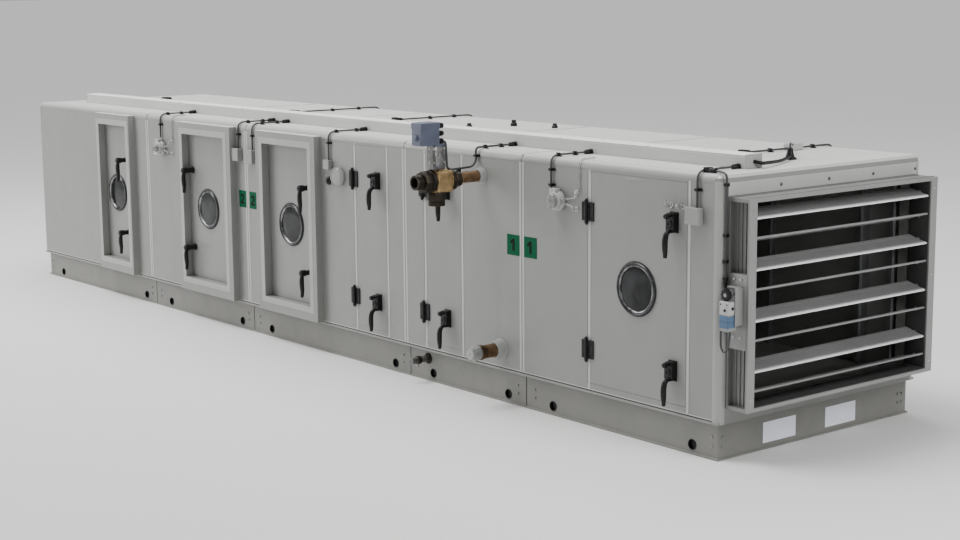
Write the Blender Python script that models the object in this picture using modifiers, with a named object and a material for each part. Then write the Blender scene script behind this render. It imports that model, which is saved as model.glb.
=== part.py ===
"""Modular air handling unit: five sections on a channel base, with doors, fan, coil, filters and damper.

Metres, +Z up. The origin is on the floor, midway along the base. +X runs along the unit against the airflow,
towards the intake damper. The service side, with the doors, faces -Y.
"""

import math

import bmesh
import bpy
from mathutils import Matrix, Vector

GAP = 0.0005                # clearance between pieces that touch
REACH = 0.1                 # how far a cutting tool runs past the piece it cuts
FAR_REACH = 1.0
END_X = 3.22                # casing ends at -END_X and +END_X
SIDE_Y = 0.66               # casing sides at -SIDE_Y and +SIDE_Y
BASE_TOP = 0.16
ROOF_Z = 1.21
WALL = 0.05                 # double-skin panel thickness
EDGE_RADIUS = 0.032         # rounded corner profiles of the casing
JOINTS_X = (-1.65, -0.475, 1.05, 1.965)     # transport joints between the five sections
JOINT_GAP = 0.003
SMOOTH_ANGLE = math.radians(35)

# Base channels
BASE_INSET = 0.025
CHANNEL_T = 0.008
CHANNEL_FLANGE = 0.05
BASE_LIP = 0.008
LIFT_HOLE_R = 0.022
LIFT_HOLE_Z = 0.042
LIFT_HOLE_INSET = (0.19, 0.13)      # from a section's two ends
END_HOLE_INSET = (0.23, 0.17)       # the same at the two ends of the unit
CROSS_W = 0.06

# Flush doors, hinged outside on their left edge: name, left x, right x
FLUSH_DOORS = (("a", 0.605, 0.887), ("b", 1.213, 1.504), ("c", 2.422, 3.028))
FLUSH_Z = (0.205, 1.165)
DOOR_GAP = 0.004
FREE_EDGE_GAP = 0.007
DOOR_T = 0.04
HINGE_Z = (0.36, 0.985)
HINGE_PIN_Y = -SIDE_Y - 0.011
HINGE_R = 0.0085
HINGE_H = 0.105
LEAF_W = 0.036
LEAF_T = 0.006
LEAF_SHORT = 0.01           # the leaf ends this far inside the knuckle's ends
LEAF_SEAT = 0.003           # the leaf starts this far from the pin's axis
FLUSH_HANDLE_Z = (0.352, 0.99)
FLUSH_HANDLE_X = {"a": 0.815, "b": 1.398, "c": 2.955}

# Framed doors, opening inwards: name, frame left x, frame right x, stile, hinge side, handle x
FRAMED_DOORS = (
    ("1", -2.273, -1.818, 0.045, "left", -1.945),
    ("2", -1.212, -0.582, 0.075, "right", -1.098),
    ("3", -0.303, 0.298, 0.070, "left", 0.175),
)
FRAME_Z = (0.17, 1.19)
FRAME_OPENING_Z = (0.25, 1.12)
FRAME_DEPTH = 0.045
DOOR_REBATE = 0.012         # how far a framed door reaches behind its frame
PANEL_RECESS = 0.005
FRAMED_HANDLE_Z = (0.432, 0.90)

# Handles: centrelines are (y, z) points from the middle of the foot, in the plane across the door
HUB = (0.023, 0.03, 0.042)                  # half width, depth, half height
KEY_STUB = (0.029, 0.058, 0.006)            # height above the middle, reach, radius
FLUSH_LEVER = ((-0.02, -0.028), (-0.042, -0.04), (-0.05, -0.06), (-0.051, -0.11), (-0.054, -0.14))
FLUSH_LEVER_R = 0.0085
SPINDLE = (0.052, 0.016, 0.013)             # length, radius at the door, radius at the end
FRAMED_LEVER = ((-0.045, 0.005), (-0.062, 0.0), (-0.066, -0.03), (-0.064, -0.09), (-0.068, -0.128))
FRAMED_LEVER_R = 0.010

# Inspection windows: door name, centre x, centre z
PORTHOLES = (("1", -2.083, 0.678), ("2", -0.925, 0.678), ("3", -0.016, 0.678), ("c", 2.73, 0.675))
PORTHOLE_R = 0.12
PORTHOLE_BODY_R = 0.104

# Intake damper
DAMPER_Y = 0.62
DAMPER_Z = (0.228, 1.117)
DAMPER_OPENING_Y = 0.575
DAMPER_OPENING_Z = (0.244, 1.101)
DAMPER_DEPTH = 0.12
DAMPER_FLANGE = 0.012
DAMPER_WEB = 0.013
BLADES = 8
BLADE_PITCH = 0.107
BLADE_CHORD = 0.104
BLADE_T = 0.006
BLADE_TILT = math.radians(16)
BLADE_X = END_X + 0.06
LEAD_BLADE = 4
SHAFT_R = 0.008
SHAFT_CLEARANCE = 0.002
PLATE_CLEARANCE = 0.003
SHAFT_ROOT = 0.06                   # how far the shaft runs into the blade
BLADE_END_GAP = 0.003
SHAFT_REACH = 0.125                 # from the blade's end to the shaft's end
CLAMP = (0.095, 0.122, 0.019)       # start and end beyond the blade's end, radius
ACTUATOR_PLATE_Z = (-0.236, 0.08)   # from the lead blade's axis
ACTUATOR_BODY_Z = (-0.15, -0.026)
ACTUATOR_BODY_HALF = 0.025
ACTUATOR_BODY_Y = (-0.70, -0.655)
ACTUATOR_NECK_HALF = 0.014
ACTUATOR_SINK = 0.01                # how far the neck runs into body and plate

# Inside the casing
INNER_Y = SIDE_Y - WALL
FLOOR_Z = BASE_TOP + WALL
CEILING_Z = ROOF_Z - WALL
AXIS_Z = (FLOOR_Z + CEILING_Z) / 2
OUTLET_Y = 0.45
OUTLET_Z = (AXIS_Z - 0.35, AXIS_Z + 0.35)
OUTLET_SPIGOT = 0.06
OUTLET_T = 0.03
PREFILTER_X = (2.16, 2.26)
FINAL_FILTER_X = (-1.44, -1.34)
FILTER_RIM = 0.03
FILTER_BAR = 0.02
FILTER_RECESS = 0.02
COIL_X = (1.60, 1.90)
COIL_Y = (-0.53, 0.58)
COIL_Z = (0.25, 1.145)
HEADER_R = 0.022
LOWER_HEADER_R = 0.026
HEADER_SINK = 0.006
UPPER_HEADER_Z = (0.30, 1.13)
LOWER_HEADER_Z = (0.236, 1.10)
LOWER_PIPE_CAP = (-0.795, -0.785, -0.850, 0.027)     # pipe end, cap start, cap end, cap radius
UPPER_PIPE = (1.667, 1.085)     # x and z of the pipe to the control valve
LOWER_PIPE = (1.806, 0.262)     # x and z of the capped pipe
PIPE_R = 0.026
LOWER_PIPE_R = 0.032
DRAIN_X = 1.20
DRAIN_Z = 0.113
DRAIN_R = 0.017
DRAIN_Y = -0.5                  # where the drain drops through the floor, behind the service panel
DRAIN_HOLE_TOP = 0.23
DRAIN_END = -0.745
DRAIN_ROUTE = ((DRAIN_Y, 0.222), (DRAIN_Y, 0.15), (-0.508, 0.126), (-0.53, DRAIN_Z), (DRAIN_END, DRAIN_Z))
PAN_X = (1.10, 1.95)
PAN_Y = 0.585
PAN_T = 0.003
PAN_RIM = 0.018
PAN_FLOOR = 0.011
DRAIN_CLEARANCE = 0.003
PIPE_CLEARANCE = 0.004
BULKHEAD_X = 0.50
BULKHEAD_T = 0.02
INLET_R = 0.195
INLET_FLARE = 0.045
INLET_T = 0.006
IMPELLER_X = (0.22, 0.41)
IMPELLER_R = 0.28
IMPELLER_BLADES = 7
DISC_T = 0.006
VANE_CHORD = 0.18
VANE_R = 0.235
VANE_ANGLE = math.radians(35)
HUB_R = 0.045
HUB_LENGTH = 0.08
MOTOR_X = (0.0, 0.205)
MOTOR_R = 0.12
MOTOR_FOOT_INSET = 0.02
MOTOR_FOOT_HALF = 0.10
TERMINAL_BOX_HALF = 0.05
TERMINAL_BOX_RISE = 0.04
PEDESTAL_HALF = 0.14
PEDESTAL_T = 0.03

# Three-way control valve on the upper pipe, its line along Y
VALVE_Y = -0.93                     # the stem and the bottom port
VALVE_DROP = 0.005                  # its line is this far below the pipe's centre
VALVE_BODY = (-0.838, -0.975, 0.050)        # near y, far y, radius
VALVE_UNION = (-0.795, -0.845, 0.036)
VALVE_OPEN_NUT = (-0.968, -1.02, 0.048)
VALVE_OPEN_END = (-1.012, -1.058, 0.033)
VALVE_BORE_R = 0.026
BOTTOM_PORT = (0.115, 0.038, 0.028)         # length, outer radius, bore radius
BONNET = (0.055, 0.026)                     # height, radius
VALVE_ACTUATOR_Y = (-1.044, -0.935)
VALVE_ACTUATOR_Z = (1.25, 1.356)
VALVE_ACTUATOR_HALF = 0.040
YOKE_HALF = (0.022, 0.036)                  # half widths along X and Y
YOKE_SLOT = 0.022
YOKE_FLOOR = 0.012
YOKE_TOP = 0.008
STEM = (0.07, 0.005)                        # length, radius
STEM_COLLAR = (0.02, 0.012)

# Roof cable trunk
TRUNK_X = (-2.95, 3.13)
TRUNK_Y = (-0.42, -0.32)
TRUNK_H = 0.06
TRUNK_T = 0.003

COATING = ((0.50, 0.51, 0.48), 0.45, 0.0)
BASE_COATING = ((0.36, 0.37, 0.35), 0.5, 0.0)
BLACK_PLASTIC = ((0.02, 0.02, 0.02), 0.4, 0.0)
ALUMINIUM = ((0.62, 0.63, 0.64), 0.35, 1.0)
GALVANISED = ((0.45, 0.47, 0.48), 0.45, 1.0)
BRASS = ((0.52, 0.38, 0.17), 0.35, 1.0)
STEEL = ((0.5, 0.5, 0.5), 0.3, 1.0)
ACTUATOR_BLUE = ((0.25, 0.33, 0.42), 0.5, 0.0)
FILTER_MEDIA = ((0.30, 0.25, 0.20), 0.9, 0.0)
GLAZING = ((0.05, 0.06, 0.07), 0.15, 0.0)
MOTOR_PAINT = ((0.20, 0.24, 0.28), 0.5, 0.0)


def empty_scene():
    for obj in list(bpy.data.objects):
        bpy.data.objects.remove(obj, do_unlink=True)


def collection(name):
    group = bpy.data.collections.new(name)
    bpy.context.scene.collection.children.link(group)
    return group


def material(name, look):
    color, roughness, metallic = look
    mat = bpy.data.materials.new(name)
    mat.use_nodes = True
    shader = mat.node_tree.nodes["Principled BSDF"]
    shader.inputs["Base Color"].default_value = (*color, 1.0)
    shader.inputs["Roughness"].default_value = roughness
    shader.inputs["Metallic"].default_value = metallic
    return mat


def mesh_object(name, mesh, group, look=None):
    obj = bpy.data.objects.new(name, mesh)
    group.objects.link(obj)
    if look:
        obj.data.materials.append(material(name, look))
    if group is CUTTERS:
        obj.display_type = "WIRE"
        obj.hide_render = True
    return obj


def block_mesh(name, low, high):
    low, high = Vector(low), Vector(high)
    bm = bmesh.new()
    bmesh.ops.create_cube(bm, size=1.0)
    bmesh.ops.scale(bm, vec=high - low, verts=bm.verts)
    bmesh.ops.translate(bm, vec=(low + high) / 2, verts=bm.verts)
    mesh = bpy.data.meshes.new(name)
    bm.to_mesh(mesh)
    bm.free()
    return mesh


def rod_mesh(name, start, end, radius, end_radius=None, sides=16):
    start, end = Vector(start), Vector(end)
    axis = end - start
    bm = bmesh.new()
    bmesh.ops.create_cone(
        bm, cap_ends=True, segments=sides, depth=axis.length,
        radius1=radius, radius2=radius if end_radius is None else end_radius,
    )
    turn = Vector((0, 0, 1)).rotation_difference(axis.normalized()).to_matrix().to_4x4()
    bmesh.ops.transform(bm, matrix=Matrix.Translation((start + end) / 2) @ turn, verts=bm.verts)
    mesh = bpy.data.meshes.new(name)
    bm.to_mesh(mesh)
    bm.free()
    mesh.shade_smooth()
    mesh.set_sharp_from_angle(angle=SMOOTH_ANGLE)
    return mesh


def block(name, low, high, look):
    return mesh_object(name, block_mesh(name, low, high), PARTS, look)


def rod(name, start, end, radius, look, sides=16):
    return mesh_object(name, rod_mesh(name, start, end, radius, sides=sides), PARTS, look)


def tool_block(low, high):
    return mesh_object("tool", block_mesh("tool", low, high), CUTTERS)


def tool_rod(start, end, radius, end_radius=None, sides=16):
    return mesh_object("tool", rod_mesh("tool", start, end, radius, end_radius, sides), CUTTERS)


def combine(target, operation, tools):
    for tool in tools:
        boolean = target.modifiers.new(operation.title(), "BOOLEAN")
        boolean.operation = operation
        boolean.solver = "EXACT"
        boolean.object = tool
    return target


def cut(target, *tools):
    return combine(target, "DIFFERENCE", tools)


def join(target, *tools):
    return combine(target, "UNION", tools)


def tube(points, radius, bevel_resolution=1):
    """A mesh tool along a curve, with its end caps welded on."""
    curve = bpy.data.curves.new("route", "CURVE")
    curve.dimensions = "3D"
    curve.bevel_depth = radius
    curve.bevel_resolution = bevel_resolution
    curve.use_fill_caps = True
    spline = curve.splines.new("POLY")
    spline.points.add(len(points) - 1)
    for point, place in zip(spline.points, points):
        point.co = (*place, 1.0)
    guide = bpy.data.objects.new("route", curve)
    CUTTERS.objects.link(guide)
    bpy.context.view_layer.update()
    mesh = bpy.data.meshes.new_from_object(guide.evaluated_get(bpy.context.evaluated_depsgraph_get()))
    bm = bmesh.new()
    bm.from_mesh(mesh)
    bmesh.ops.remove_doubles(bm, verts=bm.verts, dist=0.00005)
    bmesh.ops.recalc_face_normals(bm, faces=bm.faces)
    bm.to_mesh(mesh)
    bm.free()
    obj = mesh_object("tool", mesh, CUTTERS)
    obj.matrix_world = guide.matrix_world
    bpy.data.objects.remove(guide)
    return obj


def baked(obj):
    """The evaluated mesh of an object, for copies to share."""
    bpy.context.view_layer.update()
    mesh = bpy.data.meshes.new_from_object(obj.evaluated_get(bpy.context.evaluated_depsgraph_get()))
    bpy.data.objects.remove(obj)
    return mesh


def round_edges(obj, chosen, radius, segments=3):
    """Bevels the edges whose two ends pass the test."""
    bm = bmesh.new()
    bm.from_mesh(obj.data)
    weight = bm.edges.layers.float.new("bevel_weight_edge")
    for edge in bm.edges:
        if chosen(edge.verts[0].co, edge.verts[1].co):
            edge[weight] = 1.0
    bm.to_mesh(obj.data)
    bm.free()
    bevel = obj.modifiers.new("Rounded corners", "BEVEL")
    bevel.limit_method = "WEIGHT"
    bevel.width = radius
    bevel.segments = segments


def section_spans():
    edges = (-END_X, *JOINTS_X, END_X)
    for number in range(1, len(edges)):
        start = edges[number - 1] + (JOINT_GAP / 2 if number > 1 else 0.0)
        end = edges[number] - (JOINT_GAP / 2 if number < len(edges) - 1 else 0.0)
        yield number, start, end


def base_section(number, start, end):
    """A welded ring of inward-facing channels with one cross member and four lifting holes."""
    first, last = number == 1, number == len(JOINTS_X) + 1
    low_x = start + (BASE_INSET if first else 0.0)
    high_x = end - (BASE_INSET if last else 0.0)
    side = SIDE_Y - BASE_INSET
    top = BASE_TOP - GAP
    cross = 0.0 if low_x < 0.0 < high_x else (low_x + high_x) / 2
    section = block(f"base_frame_{number}", (low_x, -side, 0.0), (high_x, side, top), BASE_COATING)
    lip_low = low_x - (BASE_LIP if first else 0.0)
    lip_high = high_x + (BASE_LIP if last else 0.0)
    join(section, tool_block((lip_low, -side - BASE_LIP, 0.0), (lip_high, side + BASE_LIP, CHANNEL_T)))
    for bay_low, bay_high, flange_low, flange_high in (
        (low_x + CHANNEL_T, cross - CROSS_W / 2, low_x + CHANNEL_FLANGE, cross - CROSS_W / 2),
        (cross + CROSS_W / 2, high_x - CHANNEL_T, cross + CROSS_W / 2, high_x - CHANNEL_FLANGE),
    ):
        inner = side - CHANNEL_T
        open_y = side - CHANNEL_FLANGE
        cut(
            section,
            tool_block((bay_low, -inner, CHANNEL_T), (bay_high, inner, top - CHANNEL_T)),
            tool_block((flange_low, -open_y, -REACH), (flange_high, open_y, top + REACH)),
        )
    from_start = (END_HOLE_INSET if first else LIFT_HOLE_INSET)[0]
    from_end = (END_HOLE_INSET if last else LIFT_HOLE_INSET)[1]
    for hole_x in (start + from_start, end - from_end):
        cut(section, tool_rod(
            (hole_x, -FAR_REACH, LIFT_HOLE_Z), (hole_x, FAR_REACH, LIFT_HOLE_Z), LIFT_HOLE_R, sides=12
        ))
    if low_x < DRAIN_X < high_x:
        cut(section, tool_rod(
            (DRAIN_X, -FAR_REACH, DRAIN_Z), (DRAIN_X, 0, DRAIN_Z), DRAIN_R + DRAIN_CLEARANCE, sides=12
        ))
    return section


def casing_section(number, start, end):
    """A double-skin shell, open to the sections beside it."""
    first, last = number == 1, number == len(JOINTS_X) + 1
    shell = block(f"casing_section_{number}", (start, -SIDE_Y, BASE_TOP), (end, SIDE_Y, ROOF_Z), COATING)

    def outer_edge(a, b):
        both_top = a.z > ROOF_Z - GAP and b.z > ROOF_Z - GAP
        lengthwise = abs(a.x - b.x) > GAP
        at_end = (first and max(a.x, b.x) < start + GAP) or (last and min(a.x, b.x) > end - GAP)
        return (both_top and lengthwise) or (at_end and (both_top or abs(a.z - b.z) > GAP))

    round_edges(shell, outer_edge, EDGE_RADIUS)
    inner_low = start + WALL if first else start - REACH
    inner_high = end - WALL if last else end + REACH
    if first:
        join(shell, tool_block(
            (-END_X - OUTLET_SPIGOT, -OUTLET_Y - OUTLET_T, OUTLET_Z[0] - OUTLET_T),
            (-END_X + WALL / 2, OUTLET_Y + OUTLET_T, OUTLET_Z[1] + OUTLET_T),
        ))
    for _door, frame_low, frame_high, *_ in FRAMED_DOORS:
        if start < frame_low < end:
            join(shell, tool_block(
                (frame_low, -SIDE_Y - FRAME_DEPTH, FRAME_Z[0]), (frame_high, -SIDE_Y + WALL / 2, FRAME_Z[1])
            ))
    cut(shell, tool_block((inner_low, -INNER_Y, FLOOR_Z), (inner_high, INNER_Y, CEILING_Z)))
    if first:
        cut(shell, tool_block(
            (-END_X - OUTLET_SPIGOT - REACH, -OUTLET_Y, OUTLET_Z[0]), (start + REACH, OUTLET_Y, OUTLET_Z[1])
        ))
    if last:
        cut(shell, tool_block(
            (end - REACH, -DAMPER_OPENING_Y, DAMPER_OPENING_Z[0]),
            (end + REACH, DAMPER_OPENING_Y, DAMPER_OPENING_Z[1]),
        ))
    for _door, low, high in FLUSH_DOORS:
        if start < low < end:
            cut(shell, tool_block(
                (low - DOOR_GAP, -SIDE_Y - REACH, FLUSH_Z[0] - DOOR_GAP),
                (high + FREE_EDGE_GAP, -INNER_Y + REACH, FLUSH_Z[1] + DOOR_GAP),
            ))
    for _door, frame_low, frame_high, stile, *_ in FRAMED_DOORS:
        if start < frame_low < end:
            low, high = frame_low + stile, frame_high - stile
            pocket = DOOR_REBATE + DOOR_GAP
            cut(
                shell,
                tool_block(
                    (low, -SIDE_Y - REACH, FRAME_OPENING_Z[0]), (high, -INNER_Y + REACH, FRAME_OPENING_Z[1])
                ),
                tool_block(
                    (low - pocket, -SIDE_Y, FRAME_OPENING_Z[0] - pocket),
                    (high + pocket, -INNER_Y + REACH, FRAME_OPENING_Z[1] + pocket),
                ),
            )
    for (pipe_x, pipe_z), radius in ((UPPER_PIPE, PIPE_R), (LOWER_PIPE, LOWER_PIPE_R)):
        if start < pipe_x < end:
            cut(shell, tool_rod(
                (pipe_x, -FAR_REACH, pipe_z), (pipe_x, DRAIN_Y, pipe_z), radius + PIPE_CLEARANCE
            ))
    if start < DRAIN_X < end:
        cut(shell, tool_rod(
            (DRAIN_X, DRAIN_Y, 0), (DRAIN_X, DRAIN_Y, DRAIN_HOLE_TOP), DRAIN_R + DRAIN_CLEARANCE, sides=12
        ))
    return shell


def porthole_hole(leaf, name):
    for door, x, z in PORTHOLES:
        if door == name:
            cut(leaf, tool_rod((x, -FAR_REACH, z), (x, -INNER_Y + REACH, z), PORTHOLE_BODY_R + GAP, sides=24))


def flush_door(name, low, high):
    leaf = block(f"door_{name}", (low, -SIDE_Y, FLUSH_Z[0]), (high, -SIDE_Y + DOOR_T, FLUSH_Z[1]), COATING)
    porthole_hole(leaf, name)


def framed_door(name, frame_low, frame_high, stile):
    leaf = block(
        f"door_{name}",
        (frame_low + stile - DOOR_REBATE, -SIDE_Y + PANEL_RECESS, FRAME_OPENING_Z[0] - DOOR_REBATE),
        (frame_high - stile + DOOR_REBATE, -SIDE_Y + PANEL_RECESS + DOOR_T, FRAME_OPENING_Z[1] + DOOR_REBATE),
        COATING,
    )
    porthole_hole(leaf, name)


def porthole_mesh():
    """A flanged window turned about the Y axis, from its outer face inwards."""
    rim, body, depth, flange = PORTHOLE_R, PORTHOLE_BODY_R - GAP, 0.03, 0.008
    glass_r, glass_y = 0.096, -0.001
    profile = (
        (0.0, glass_y), (glass_r, glass_y), (glass_r + 0.002, -flange), (rim - 0.004, -flange),
        (rim, -GAP * 2), (body, -GAP), (body, depth), (0.0, depth),
    )
    bm = bmesh.new()
    verts = [bm.verts.new((radius, 0.0, -y)) for radius, y in profile]
    for a, b in zip(verts, verts[1:]):
        bm.edges.new((a, b))
    mesh = bpy.data.meshes.new("porthole_profile")
    bm.to_mesh(mesh)
    bm.free()
    obj = mesh_object("porthole_profile", mesh, CUTTERS)
    screw = obj.modifiers.new("Turned", "SCREW")
    screw.axis = "Z"
    screw.steps = 24
    screw.render_steps = 24
    screw.use_merge_vertices = True
    screw.merge_threshold = 0.00005
    mesh = baked(obj)
    mesh.transform(Matrix.Rotation(math.radians(90), 4, "X"))
    mesh.shade_smooth()
    mesh.set_sharp_from_angle(angle=SMOOTH_ANGLE)
    return mesh


def portholes():
    mesh = porthole_mesh()
    mesh.materials.append(material("porthole", GLAZING))
    for door, x, z in PORTHOLES:
        face = -SIDE_Y if door == "c" else -SIDE_Y + PANEL_RECESS
        window = mesh_object(f"porthole_{door}", mesh, PARTS)
        window.location = (x, face, z)


def hinge(name, pin_x, pin_z):
    """The fixed leaf and knuckle; the leaf on the door swings about the same pin."""
    half = HINGE_H / 2
    knuckle = rod(name, (pin_x, HINGE_PIN_Y, pin_z - half), (pin_x, HINGE_PIN_Y, pin_z + half), HINGE_R,
                  BLACK_PLASTIC, sides=12)
    leaf_half = half - LEAF_SHORT
    join(knuckle, tool_block(
        (pin_x - LEAF_W, -SIDE_Y - LEAF_T, pin_z - leaf_half),
        (pin_x - LEAF_SEAT, -SIDE_Y - GAP, pin_z + leaf_half),
    ))


def flush_handle_mesh():
    """A cam handle: a boxed hub, a key stub and a lever that hangs down, turned about the Y axis."""
    half_width, depth, half_height = HUB
    stub_z, stub_reach, stub_r = KEY_STUB
    mesh = block_mesh("hub", (-half_width, -depth, -half_height), (half_width, -GAP, half_height))
    hub = mesh_object("hub", mesh, CUTTERS)
    round_edges(hub, lambda a, b: abs(a.y - b.y) > GAP, half_width / 2, segments=2)
    join(
        hub,
        tube([(0, y, z) for y, z in FLUSH_LEVER], FLUSH_LEVER_R),
        tool_rod((0, -depth / 2, stub_z), (0, -stub_reach, stub_z), stub_r, sides=8),
    )
    return baked(hub)


def framed_handle_mesh():
    """A swing handle: a spindle that stands off the door and a lever that hangs down from its end."""
    length, foot_r, end_r = SPINDLE
    mesh = rod_mesh("spindle", (0, -GAP, 0), (0, -length, 0), foot_r, end_r, 12)
    spindle = mesh_object("spindle", mesh, CUTTERS)
    join(spindle, tube([(0, y, z) for y, z in FRAMED_LEVER], FRAMED_LEVER_R))
    return baked(spindle)


def handles():
    flush, framed = flush_handle_mesh(), framed_handle_mesh()
    for mesh in (flush, framed):
        mesh.materials.append(material("handle", BLACK_PLASTIC))
    for door, x in FLUSH_HANDLE_X.items():
        for place, z in zip(("lower", "upper"), FLUSH_HANDLE_Z):
            grip = mesh_object(f"handle_{door}_{place}", flush, PARTS)
            grip.location = (x, -SIDE_Y, z)
    for door, _low, _high, _stile, _side, x in FRAMED_DOORS:
        for place, z in zip(("lower", "upper"), FRAMED_HANDLE_Z):
            grip = mesh_object(f"handle_{door}_{place}", framed, PARTS)
            grip.location = (x, -SIDE_Y + PANEL_RECESS, z)


def blade_z(number):
    middle = (DAMPER_OPENING_Z[0] + DAMPER_OPENING_Z[1]) / 2
    return middle + ((BLADES + 1) / 2 - number) * BLADE_PITCH


def shaft_hole_tool(z, radius):
    return tool_rod((BLADE_X, -FAR_REACH, z), (BLADE_X, -INNER_Y + REACH, z), radius, sides=12)


def damper_frame():
    back, front = END_X + GAP, END_X + DAMPER_DEPTH
    frame = block("damper_frame", (back, -DAMPER_Y, DAMPER_Z[0]), (front, DAMPER_Y, DAMPER_Z[1]), COATING)
    low_z, high_z = DAMPER_OPENING_Z
    cut(frame, tool_block(
        (back - REACH, -DAMPER_OPENING_Y, low_z), (front + REACH, DAMPER_OPENING_Y, high_z)
    ))
    web = DAMPER_OPENING_Y + DAMPER_WEB
    for low_y, high_y in ((-FAR_REACH, -web), (web, FAR_REACH)):
        cut(frame, tool_block(
            (back + DAMPER_FLANGE, low_y, low_z), (front - DAMPER_FLANGE, high_y, high_z)
        ))
    lead_z = blade_z(LEAD_BLADE)
    cut(frame, shaft_hole_tool(lead_z, SHAFT_R + SHAFT_CLEARANCE))


def damper_blades():
    """Opposed blades: odd ones tip down towards the intake, even ones tip up."""
    half_span = DAMPER_OPENING_Y - BLADE_END_GAP
    for number in range(1, BLADES + 1):
        blade = block(
            f"damper_blade_{number}",
            (-BLADE_CHORD / 2, -half_span, -BLADE_T / 2),
            (BLADE_CHORD / 2, half_span, BLADE_T / 2), ALUMINIUM,
        )
        round_edges(blade, lambda a, b: abs(a.y - b.y) > half_span, BLADE_T * 0.4, segments=1)
        if number == LEAD_BLADE:
            clamp_start, clamp_end, clamp_r = CLAMP
            side = -half_span
            tools = (
                tool_rod((0, side - SHAFT_REACH, 0), (0, side + SHAFT_ROOT, 0), SHAFT_R, sides=12),
                tool_rod((0, side - clamp_end, 0), (0, side - clamp_start, 0), clamp_r, sides=12),
            )
            for tool in tools:
                tool.parent = blade
            join(blade, *tools)
        blade.location = (BLADE_X, 0.0, blade_z(number))
        blade.rotation_euler.y = BLADE_TILT if number % 2 else -BLADE_TILT


def damper_actuator():
    lead_z = blade_z(LEAD_BLADE)
    groove = DAMPER_OPENING_Y + DAMPER_WEB
    back, front = END_X + DAMPER_FLANGE, END_X + DAMPER_DEPTH - DAMPER_FLANGE
    plate = block(
        "damper_actuator",
        (back + 2 * GAP, -DAMPER_Y, lead_z + ACTUATOR_PLATE_Z[0]),
        (front - GAP, -groove - GAP, lead_z + ACTUATOR_PLATE_Z[1]), GALVANISED,
    )
    low_z, high_z = (lead_z + z for z in ACTUATOR_BODY_Z)
    near_y, far_y = ACTUATOR_BODY_Y
    join(
        plate,
        tool_block(
            (BLADE_X - ACTUATOR_BODY_HALF, near_y, low_z), (BLADE_X + ACTUATOR_BODY_HALF, far_y, high_z)
        ),
        tool_block(
            (BLADE_X - ACTUATOR_NECK_HALF, far_y - ACTUATOR_SINK, low_z + ACTUATOR_SINK),
            (BLADE_X + ACTUATOR_NECK_HALF, -DAMPER_Y + ACTUATOR_SINK, high_z - ACTUATOR_SINK),
        ),
    )
    cut(plate, shaft_hole_tool(lead_z, SHAFT_R + PLATE_CLEARANCE))


def filter_bank(name, span):
    """Two by two filter cells in a frame, each cell's media set back from the upstream face."""
    low, high = span
    bank = block(
        name, (low, -INNER_Y + GAP, FLOOR_Z + GAP), (high, INNER_Y - GAP, CEILING_Z - GAP), FILTER_MEDIA
    )
    for sign_y in (-1, 1):
        for sign_z in (-1, 1):
            ys = sorted((sign_y * FILTER_BAR, sign_y * (INNER_Y - FILTER_RIM)))
            zs = sorted((AXIS_Z + sign_z * FILTER_BAR, AXIS_Z + sign_z * (CEILING_Z - AXIS_Z - FILTER_RIM)))
            cut(bank, tool_block((high - FILTER_RECESS, ys[0], zs[0]), (high + REACH, ys[1], zs[1])))


def cooling_coil():
    """Finned block with two headers on the service side and a pipe from each through the panel."""
    front, rear = COIL_Y
    header_y = front - HEADER_R + HEADER_SINK
    coil = block("cooling_coil", (COIL_X[0], front, COIL_Z[0]), (COIL_X[1], rear, COIL_Z[1]), ALUMINIUM)
    upper_x, upper_z = UPPER_PIPE
    lower_x, lower_z = LOWER_PIPE
    pipe_end, cap_start, cap_end, cap_r = LOWER_PIPE_CAP
    join(
        coil,
        tool_rod(
            (upper_x, header_y, UPPER_HEADER_Z[0]), (upper_x, header_y, UPPER_HEADER_Z[1]), HEADER_R, sides=12
        ),
        tool_rod(
            (lower_x, header_y, LOWER_HEADER_Z[0]), (lower_x, header_y, LOWER_HEADER_Z[1]),
            LOWER_HEADER_R, sides=12,
        ),
        tool_rod((upper_x, header_y, upper_z), (upper_x, VALVE_UNION[0] + GAP, upper_z), PIPE_R),
        tool_rod((lower_x, header_y, lower_z), (lower_x, pipe_end, lower_z), LOWER_PIPE_R),
        tool_rod((lower_x, cap_start, lower_z), (lower_x, cap_end, lower_z), cap_r, sides=12),
    )


def drain_pan():
    low, high = PAN_X
    pan = block("drain_pan", (low, -PAN_Y, FLOOR_Z + GAP), (high, PAN_Y, FLOOR_Z + PAN_RIM), GALVANISED)
    join(pan, tube([(DRAIN_X, y, z) for y, z in DRAIN_ROUTE], DRAIN_R, 2))
    cut(pan, tool_block(
        (low + PAN_T, -PAN_Y + PAN_T, FLOOR_Z + PAN_FLOOR), (high - PAN_T, PAN_Y - PAN_T, FLOOR_Z + REACH)
    ))


def fan_bulkhead():
    """The wall between suction and discharge, with the inlet ring."""
    plate = block(
        "fan_bulkhead", (BULKHEAD_X, -INNER_Y + GAP, FLOOR_Z + GAP),
        (BULKHEAD_X + BULKHEAD_T, INNER_Y - GAP, CEILING_Z - GAP), GALVANISED,
    )
    mouth = IMPELLER_X[1]
    flare = INLET_R + INLET_FLARE
    join(plate, tool_rod(
        (BULKHEAD_X + BULKHEAD_T / 2, 0, AXIS_Z), (mouth - BULKHEAD_T, 0, AXIS_Z), flare, INLET_R, sides=24
    ))
    cut(plate, tool_rod(
        (BULKHEAD_X + 2 * BULKHEAD_T, 0, AXIS_Z), (mouth - 2 * BULKHEAD_T, 0, AXIS_Z),
        flare, INLET_R - INLET_T, sides=24,
    ))


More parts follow.
